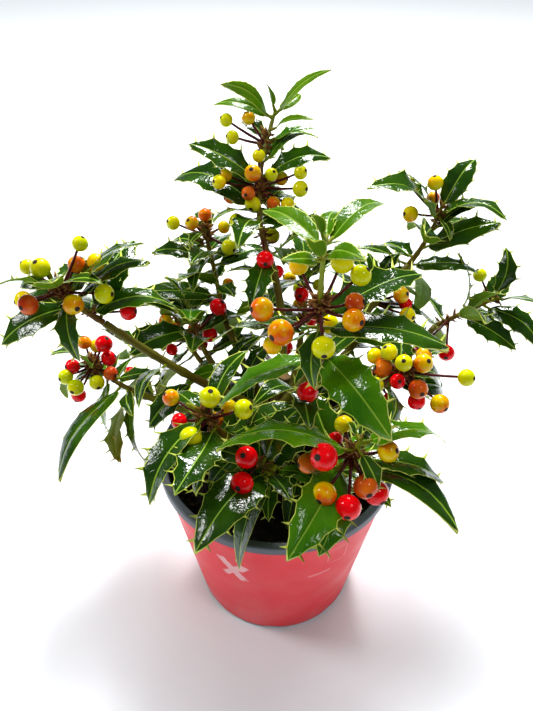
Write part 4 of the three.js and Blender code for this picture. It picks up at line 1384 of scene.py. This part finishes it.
# %% Bark materials
BARK, YOUNG_BARK, CUT_WOOD = range(3)
bark_finishes = [
    stem_finish("old bark", (104, 94, 46), (72, 62, 26), 120.0, 0.8, 0.7),
    stem_finish("young bark", (98, 96, 4), (84, 68, 6), 70.0, 0.5, 0.4),
    stem_finish("cut wood", (186, 154, 108), (150, 112, 74), 300.0, 0.8, 0.5),
]
print("bark finishes:", [made.name for made in bark_finishes])

# %% Draw the trunk
TRUNK_SIDES, TRUNK_STEPS = 28, 60
RIDGE_SCALE, RIDGE_HEIGHT = (0.9, 0.9, 0.22), 0.45
PIT_SCALE, PIT_DEPTH = 1.6, 0.18


def trunk_radius(share):
    height = trunk_limb.at(share)[2] - TRUNK_LINE[0][2]
    flare = (TRUNK_FOOT_RADIUS - TRUNK_RADIUS) * math.exp(-height / FLARE_HEIGHT * 2)
    return mix((TRUNK_RADIUS, TRUNK_TIP_RADIUS), share) + flare


def bark_relief(point, share):
    ridges = noise.noise(Vector(point * RIDGE_SCALE))
    return RIDGE_HEIGHT * ridges + PIT_DEPTH * noise.noise(Vector(point) * PIT_SCALE)


trunk_sheaf = Sheaf("trunk_bark", bark_finishes)
tube(
    trunk_sheaf, trunk_limb, trunk_radius, TRUNK_SIDES, TRUNK_STEPS, BARK, bark_relief,
    end_slot=CUT_WOOD,
)
trunk = trunk_sheaf.build()
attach(trunk, "root")
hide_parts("trunk")

# %% Draw the boughs
BOUGH_SIDES, BOUGH_STEPS = 12, 36
bough_relief = bumpy(rings=6, height=0.3, width=0.08, roughness=0.2, scale=0.5)

bough_sheaf = Sheaf("boughs", bark_finishes)
for shoot in shoots:
    radii = (BOUGH_RADIUS, BOUGH_TIP_RADIUS)
    tube(bough_sheaf, shoot.bough, radii, BOUGH_SIDES, BOUGH_STEPS, YOUNG_BARK, bough_relief)
boughs = bough_sheaf.build()
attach(boughs, "root")
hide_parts(*[f"{shoot.name}_bough" for shoot in shoots])

# %% [markdown]
# ## The pot
#
# A nursery pot is moulded in grey plastic and printed red outside, up to the rim. A cone and
# a few boolean cuts would give its walls, but neither the soft rim nor clean faces. So the mesh
# is one profile turned round the axis, fine enough to look round. The rim's edges are quarter
# circles, and between the feet the lowest rings rise in shallow drain arches.

# %% Pot sizes, in millimetres
POT_HEIGHT, RIM_RADIUS, BASE_RADIUS, BASE_EDGE = 97.0, 60.0, 42.5, 1.0
POT_WALL, POT_FLOOR = 1.3, 1.8
RIM_BAND, RIM_OVERHANG, RIM_LIP, RIM_ROUNDING = 5.0, 1.6, 4.0, 1.1
FEET, ARCH_WIDTH, ARCH_HEIGHT, ARCH_TURN, ARCH_INNER = 8, 13.0, 2.2, -3.0, 37.0
WALL_TOP = POT_HEIGHT - RIM_BAND
POT_SIDES = 192


def outer_wall(z):
    return mix((BASE_RADIUS + BASE_EDGE, RIM_RADIUS - RIM_OVERHANG), z / WALL_TOP)


print("pot:", 2 * RIM_RADIUS, "mm across its rim and", POT_HEIGHT, "mm high")


# %% The pot's profile
def quarter(centre_r, centre_z, radius, start, steps=4):
    """Points of a quarter circle in the profile, from a start angle in degrees."""
    angles = [math.radians(start + 90 * n / steps) for n in range(steps + 1)]
    return [(centre_r + radius * math.cos(a), centre_z + radius * math.sin(a)) for a in angles]


NEAR_AXIS = 0.01
UNDERSIDE = (NEAR_AXIS, 20.0, ARCH_INNER - 0.4, ARCH_INNER, BASE_RADIUS - 0.5)
WALL_RINGS = (1.6, 2.6, 3.4, 6.0, 30.0, 60.0, 85.0, WALL_TOP - 1.0, WALL_TOP)
rim_inner = RIM_RADIUS - RIM_LIP
edge_z = POT_HEIGHT - RIM_ROUNDING

profile = [(r, 0.0) for r in UNDERSIDE]
profile += [(BASE_RADIUS + 0.1, 0.1), (BASE_RADIUS + BASE_EDGE * 0.8, BASE_EDGE * 0.6)]
first_wall_ring = len(profile)
profile += [(outer_wall(z), z) for z in WALL_RINGS]
outer_rings = len(profile)
profile += [(RIM_RADIUS - 0.6, WALL_TOP + 0.1), (RIM_RADIUS, WALL_TOP + 0.6)]
profile += quarter(RIM_RADIUS - RIM_ROUNDING, edge_z, RIM_ROUNDING, 0)
profile += quarter(rim_inner + RIM_ROUNDING, edge_z, RIM_ROUNDING, 90)
profile += [(rim_inner, WALL_TOP + 1.0), (outer_wall(WALL_TOP) - POT_WALL, WALL_TOP - 0.5)]
profile += [(outer_wall(POT_FLOOR) - POT_WALL, POT_FLOOR), (NEAR_AXIS, POT_FLOOR)]
print("pot profile:", len(profile), "rings,", outer_rings - first_wall_ring, "of them on the wall")


# %% Turn the pot
def arch_height(angle):
    """The height of the drain arches round the pot, nought at the feet."""
    period = 2 * math.pi / FEET
    start = math.radians(ARCH_TURN - 90)
    aside = ((angle - start + period / 2) % period - period / 2) * BASE_RADIUS
    return ARCH_HEIGHT * np.clip(1 - (2 * aside / ARCH_WIDTH) ** 2, 0, 1) ** 0.5


turns = round_turns(POT_SIDES)
pot_points = []
for number, (r, z) in enumerate(profile):
    arched = number < outer_rings and r >= ARCH_INNER
    heights = np.maximum(z, arch_height(turns)) if arched else np.full(POT_SIDES, z)
    pot_points.append(np.stack([r * np.cos(turns), r * np.sin(turns), heights], axis=-1))
pot_points = np.concatenate([*pot_points, [(0, 0, 0), (0, 0, POT_FLOOR)]])
print("pot points:", len(pot_points))

# %% [markdown]
# The print is a loose pattern of white brush crosses and thin outlined frames that go round
# the pot. It is worked out from the place on the wall: the angle round the axis is cut into
# equal tiles, and inside a tile a stroke is a long thin patch whose ends are worn by noise.

# %% One brush stroke
STROKE_NOISE = 700.0
STROKE_EDGE = (0.95, 1.1)


def stroke_recipe(graph, given):
    tilt = graph.maths("RADIANS", given["Tilt"])
    cos, sin = graph.maths("COSINE", tilt), graph.maths("SINE", tilt)
    x = graph.maths("SUBTRACT", given["Across"], given["Centre across"])
    y = graph.maths("SUBTRACT", given["Height"], given["Centre height"])
    along = graph.maths("ADD", graph.maths("MULTIPLY", x, cos), graph.maths("MULTIPLY", y, sin))
    aside = graph.maths("SUBTRACT", graph.maths("MULTIPLY", y, cos), graph.maths("MULTIPLY", x, sin))
    end = graph.maths("DIVIDE", graph.maths("ABSOLUTE", along), given["Half length"])
    edge = graph.maths("DIVIDE", graph.maths("ABSOLUTE", aside), given["Half width"])
    worn = graph.maths("MULTIPLY", graph.noise(graph.place(), STROKE_NOISE), given["Wear"])
    far = graph.maths("ADD", graph.maths("MAXIMUM", end, edge), worn)
    return {"Mask": graph.step(far, *STROKE_EDGE, 1.0, 0.0)}


stroke = effect(
    "brush stroke",
    {
        "Across": (NUMBER, 0.0), "Height": (NUMBER, 0.0), "Centre across": (NUMBER, 0.0),
        "Centre height": (NUMBER, 0.0), "Tilt": (NUMBER, 0.0), "Half length": (NUMBER, 6.0),
        "Half width": (NUMBER, 1.0), "Wear": (NUMBER, 0.3),
    },
    {"Mask": NUMBER},
    stroke_recipe,
)
print("brush stroke takes and gives:", [socket.name for socket in stroke.interface.items_tree])

# %% [markdown]
# A stroke is written as its centre across and up the wall, its tilt in degrees, half its
# length and half its width. Every second tile holds a cross and the others a faint frame.

# %% The printed pattern
CROSS_ANGLE, TILE_ANGLE, WALL_RADIUS = -24.8, 45.0, 51.0
MORE_THAN_ANY = 360.0
WEAR = 0.45
CROSS = [(1, 66, -60, 13, 2.6), (1.5, 65, 50, 9.5, 2.2), (5.5, 69.5, 50, 4, 3.2)]
FRAME = [(9, 83, -3, 5, 0.3), (14, 75, -88, 8, 0.3), (9.5, 69, -19, 5, 0.3), (4.5, 77, 94, 6.5, 0.3),
         (2, 62, 2, 7, 1.2)]
TILES = [(CROSS_ANGLE, CROSS, 0.62), (CROSS_ANGLE + TILE_ANGLE, FRAME, 0.3)]
STROKE_VALUES = ("Centre across", "Centre height", "Tilt", "Half length", "Half width")


def pattern(graph):
    """How strongly the white print covers each place of the wall."""
    place = graph.add("ShaderNodeSeparateXYZ", {"Vector": graph.place()}).outputs
    turn = graph.maths("ARCTAN2", place["X"], graph.maths("MULTIPLY", place["Y"], -1.0))
    degrees = graph.maths("DEGREES", turn)
    height = graph.maths("DIVIDE", place["Z"], MM)
    drawn = 0.0
    for first, strokes, strength in TILES:
        turned = graph.maths("ADD", degrees, MORE_THAN_ANY + TILE_ANGLE - first)
        tile = graph.maths("SUBTRACT", graph.maths("MODULO", turned, 2 * TILE_ANGLE), TILE_ANGLE)
        across = graph.maths("MULTIPLY", tile, math.radians(WALL_RADIUS))
        for values in strokes:
            given = dict(zip(STROKE_VALUES, map(float, values)))
            mark = graph.use(stroke, {"Across": across, "Height": height, "Wear": WEAR, **given})
            drawn = graph.maths("MAXIMUM", drawn, graph.maths("MULTIPLY", mark["Mask"], strength))
    return drawn


print("tiles round the pot:", 360 / TILE_ANGLE)


# %% Pot finishes
PLASTIC_IOR = 1.48
RED_PRINT, GREY_PLASTIC = range(2)


def plastic_finish(name, first, second, scale, dull_scale, dullness, grain_scale, strength, white=None):
    def recipe(graph):
        body = graph.use(mottle, {
            "First": colour(*first), "Second": colour(*second), "Scale": scale, "Softness": 0.3,
        })["Colour"]
        if white:
            body = graph.blend(pattern(graph), body, colour(*white))
        dull = graph.use(patches, {"Scale": dull_scale, "Low": dullness[0], "High": dullness[1]})
        fine = graph.use(grain, {"Scale": grain_scale, "Strength": strength})
        return {"Base Color": body, "Roughness": dull["Value"], "Normal": fine["Normal"]}

    return finish(name, {"Base Color": colour(*first), "IOR": PLASTIC_IOR}, recipe)


pot_finishes = [
    plastic_finish(
        "red print", (238, 44, 58), (228, 36, 48), scale=25.0, dull_scale=40.0, dullness=(0.32, 0.5),
        grain_scale=1400.0, strength=0.08, white=(240, 214, 216),
    ),
    plastic_finish(
        "grey plastic", (92, 98, 106), (78, 84, 92), scale=60.0, dull_scale=80.0, dullness=(0.38, 0.55),
        grain_scale=1200.0, strength=0.15,
    ),
]
print("pot finishes:", [made.name for made in pot_finishes])

# %% Make the pot
GREY_UNDER_RIM = 2

pot_faces = closed_faces(len(profile), POT_SIDES)
ring = pot_faces[:, 0] // POT_SIDES
printed = (ring >= first_wall_ring) & (ring < outer_rings - GREY_UNDER_RIM)
pot_sheaf = Sheaf("pot_shell", pot_finishes)
pot_sheaf.add(pot_points, pot_faces, np.where(printed, RED_PRINT, GREY_PLASTIC))
pot = pot_sheaf.build()
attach(pot, "root")
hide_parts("pot")

# %% [markdown]
# ## Compost
#
# The compost is dark, coarse and uneven. A disc of rings is lifted by two noises, and a few
# hundred crumbs lie on it: small lumps of peat and flat chips of bark.

# %% Compost materials
PEAT, CHIP = range(2)
soil_finishes = [
    stem_finish("peat", (9, 7, 6), (26, 20, 16), 260.0, 0.95, 1.0),
    stem_finish("bark chip", (74, 54, 38), (46, 34, 26), 300.0, 0.9, 0.6),
]
print("compost finishes:", [made.name for made in soil_finishes])

# %% Compost surface
SOIL_RINGS, SOIL_SIDES = 40, 120
SOIL_SINK, SOIL_FALL = 1.2, 2.0
EDGE_BELOW, FOOT_ABOVE = 3.0, 1.0
COARSE_SCALE, COARSE_HEIGHT, FINE_SCALE, FINE_HEIGHT = 0.09, 1.4, 0.4, 0.7
soil_edge = outer_wall(SOIL_LEVEL - EDGE_BELOW) - POT_WALL - CLEARANCE
soil_foot = outer_wall(POT_FLOOR + FOOT_ABOVE) - POT_WALL - CLEARANCE


def soil_height(x, y):
    coarse = noise.noise(Vector((x, y, 0.0)) * COARSE_SCALE)
    fine = noise.noise(Vector((x, y, 7.0)) * FINE_SCALE)
    fall = SOIL_FALL * (math.hypot(x, y) / soil_edge) ** 2
    return SOIL_LEVEL - SOIL_SINK - fall + COARSE_HEIGHT * coarse + FINE_HEIGHT * fine


def soil_under(x, y):
    return POT_FLOOR + CLEARANCE


rings = [(soil_edge * number / SOIL_RINGS, soil_height) for number in range(1, SOIL_RINGS + 1)]
rings.append((soil_foot, soil_under))
soil_points = []
for radius, height_at in rings:
    for turn in round_turns(SOIL_SIDES):
        x, y = radius * math.cos(turn), radius * math.sin(turn)
        soil_points.append((x, y, height_at(x, y)))
soil_points += [(0, 0, soil_height(0, 0)), (0, 0, soil_under(0, 0))]
soil_sheaf = Sheaf("compost", soil_finishes)
soil_sheaf.add(soil_points, closed_faces(len(rings), SOIL_SIDES, downward=True), PEAT)
print("compost rings:", len(rings), "of", SOIL_SIDES, "points")

# %% Crumbs
CRUMBS, CRUMB_SEED = 420, 77
CHIP_SHARE = 0.3
CHIP_STRETCH, PEAT_STRETCH = (1.8, 0.8, 0.35), (1.0, 0.8, 0.7)
CRUMB_SIZE, LEAST_SHARE, MORE_SHARE = (0.6, 1.9), 0.8, 0.4
CRUMB_LIFT, CRUMB_MARGIN = 0.25, 2.5
LUMP = np.array([(1, 0, 0), (-1, 0, 0), (0, 1, 0), (0, -1, 0), (0, 0, 1), (0, 0, -1)], float)
belt = [(0, 2), (2, 1), (1, 3), (3, 0)]
lump_faces = np.array([(a, b, 4, 4) for a, b in belt] + [(b, a, 5, 5) for a, b in belt])

crumbling = Chance(CRUMB_SEED)
for number in range(CRUMBS):
    away = (soil_edge - CRUMB_MARGIN) * math.sqrt(crumbling.next())
    turn = 2 * math.pi * crumbling.next()
    x, y = away * math.cos(turn), away * math.sin(turn)
    chip = crumbling.next() < CHIP_SHARE
    size = mix(CRUMB_SIZE, crumbling.next() ** 2)
    stretch = size * np.array(CHIP_STRETCH if chip else PEAT_STRETCH)
    spin = 2 * math.pi * crumbling.next()
    shape = LUMP * stretch * (LEAST_SHARE + MORE_SHARE * crumbling.next())
    turned = np.stack([
        shape[:, 0] * math.cos(spin) - shape[:, 1] * math.sin(spin),
        shape[:, 0] * math.sin(spin) + shape[:, 1] * math.cos(spin),
        shape[:, 2],
    ], axis=1)
    place = (x, y, soil_height(x, y) + size * CRUMB_LIFT)
    soil_sheaf.add(turned + place, lump_faces, CHIP if chip else PEAT)
soil = soil_sheaf.build()
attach(soil, "root")
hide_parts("soil")

# %% [markdown]
# ## The floor
#
# The plant stands on a plain white studio floor. It is wide enough that from above its edge
# doesn't show, and a touch of blue in it keeps the soft shadow cool.

# %% Floor
FLOOR_SIZE = 12.0
FLOOR_WHITE = (0.84, 0.88, 0.92, 1.0)
bpy.ops.mesh.primitive_plane_add(size=FLOOR_SIZE, location=(0, 0, 0))
floor = bpy.context.object
floor.name = "floor"
floor.data.materials.append(finish("studio floor", {"Base Color": FLOOR_WHITE, "Roughness": 0.7}))
print("floor:", FLOOR_SIZE, "m wide")
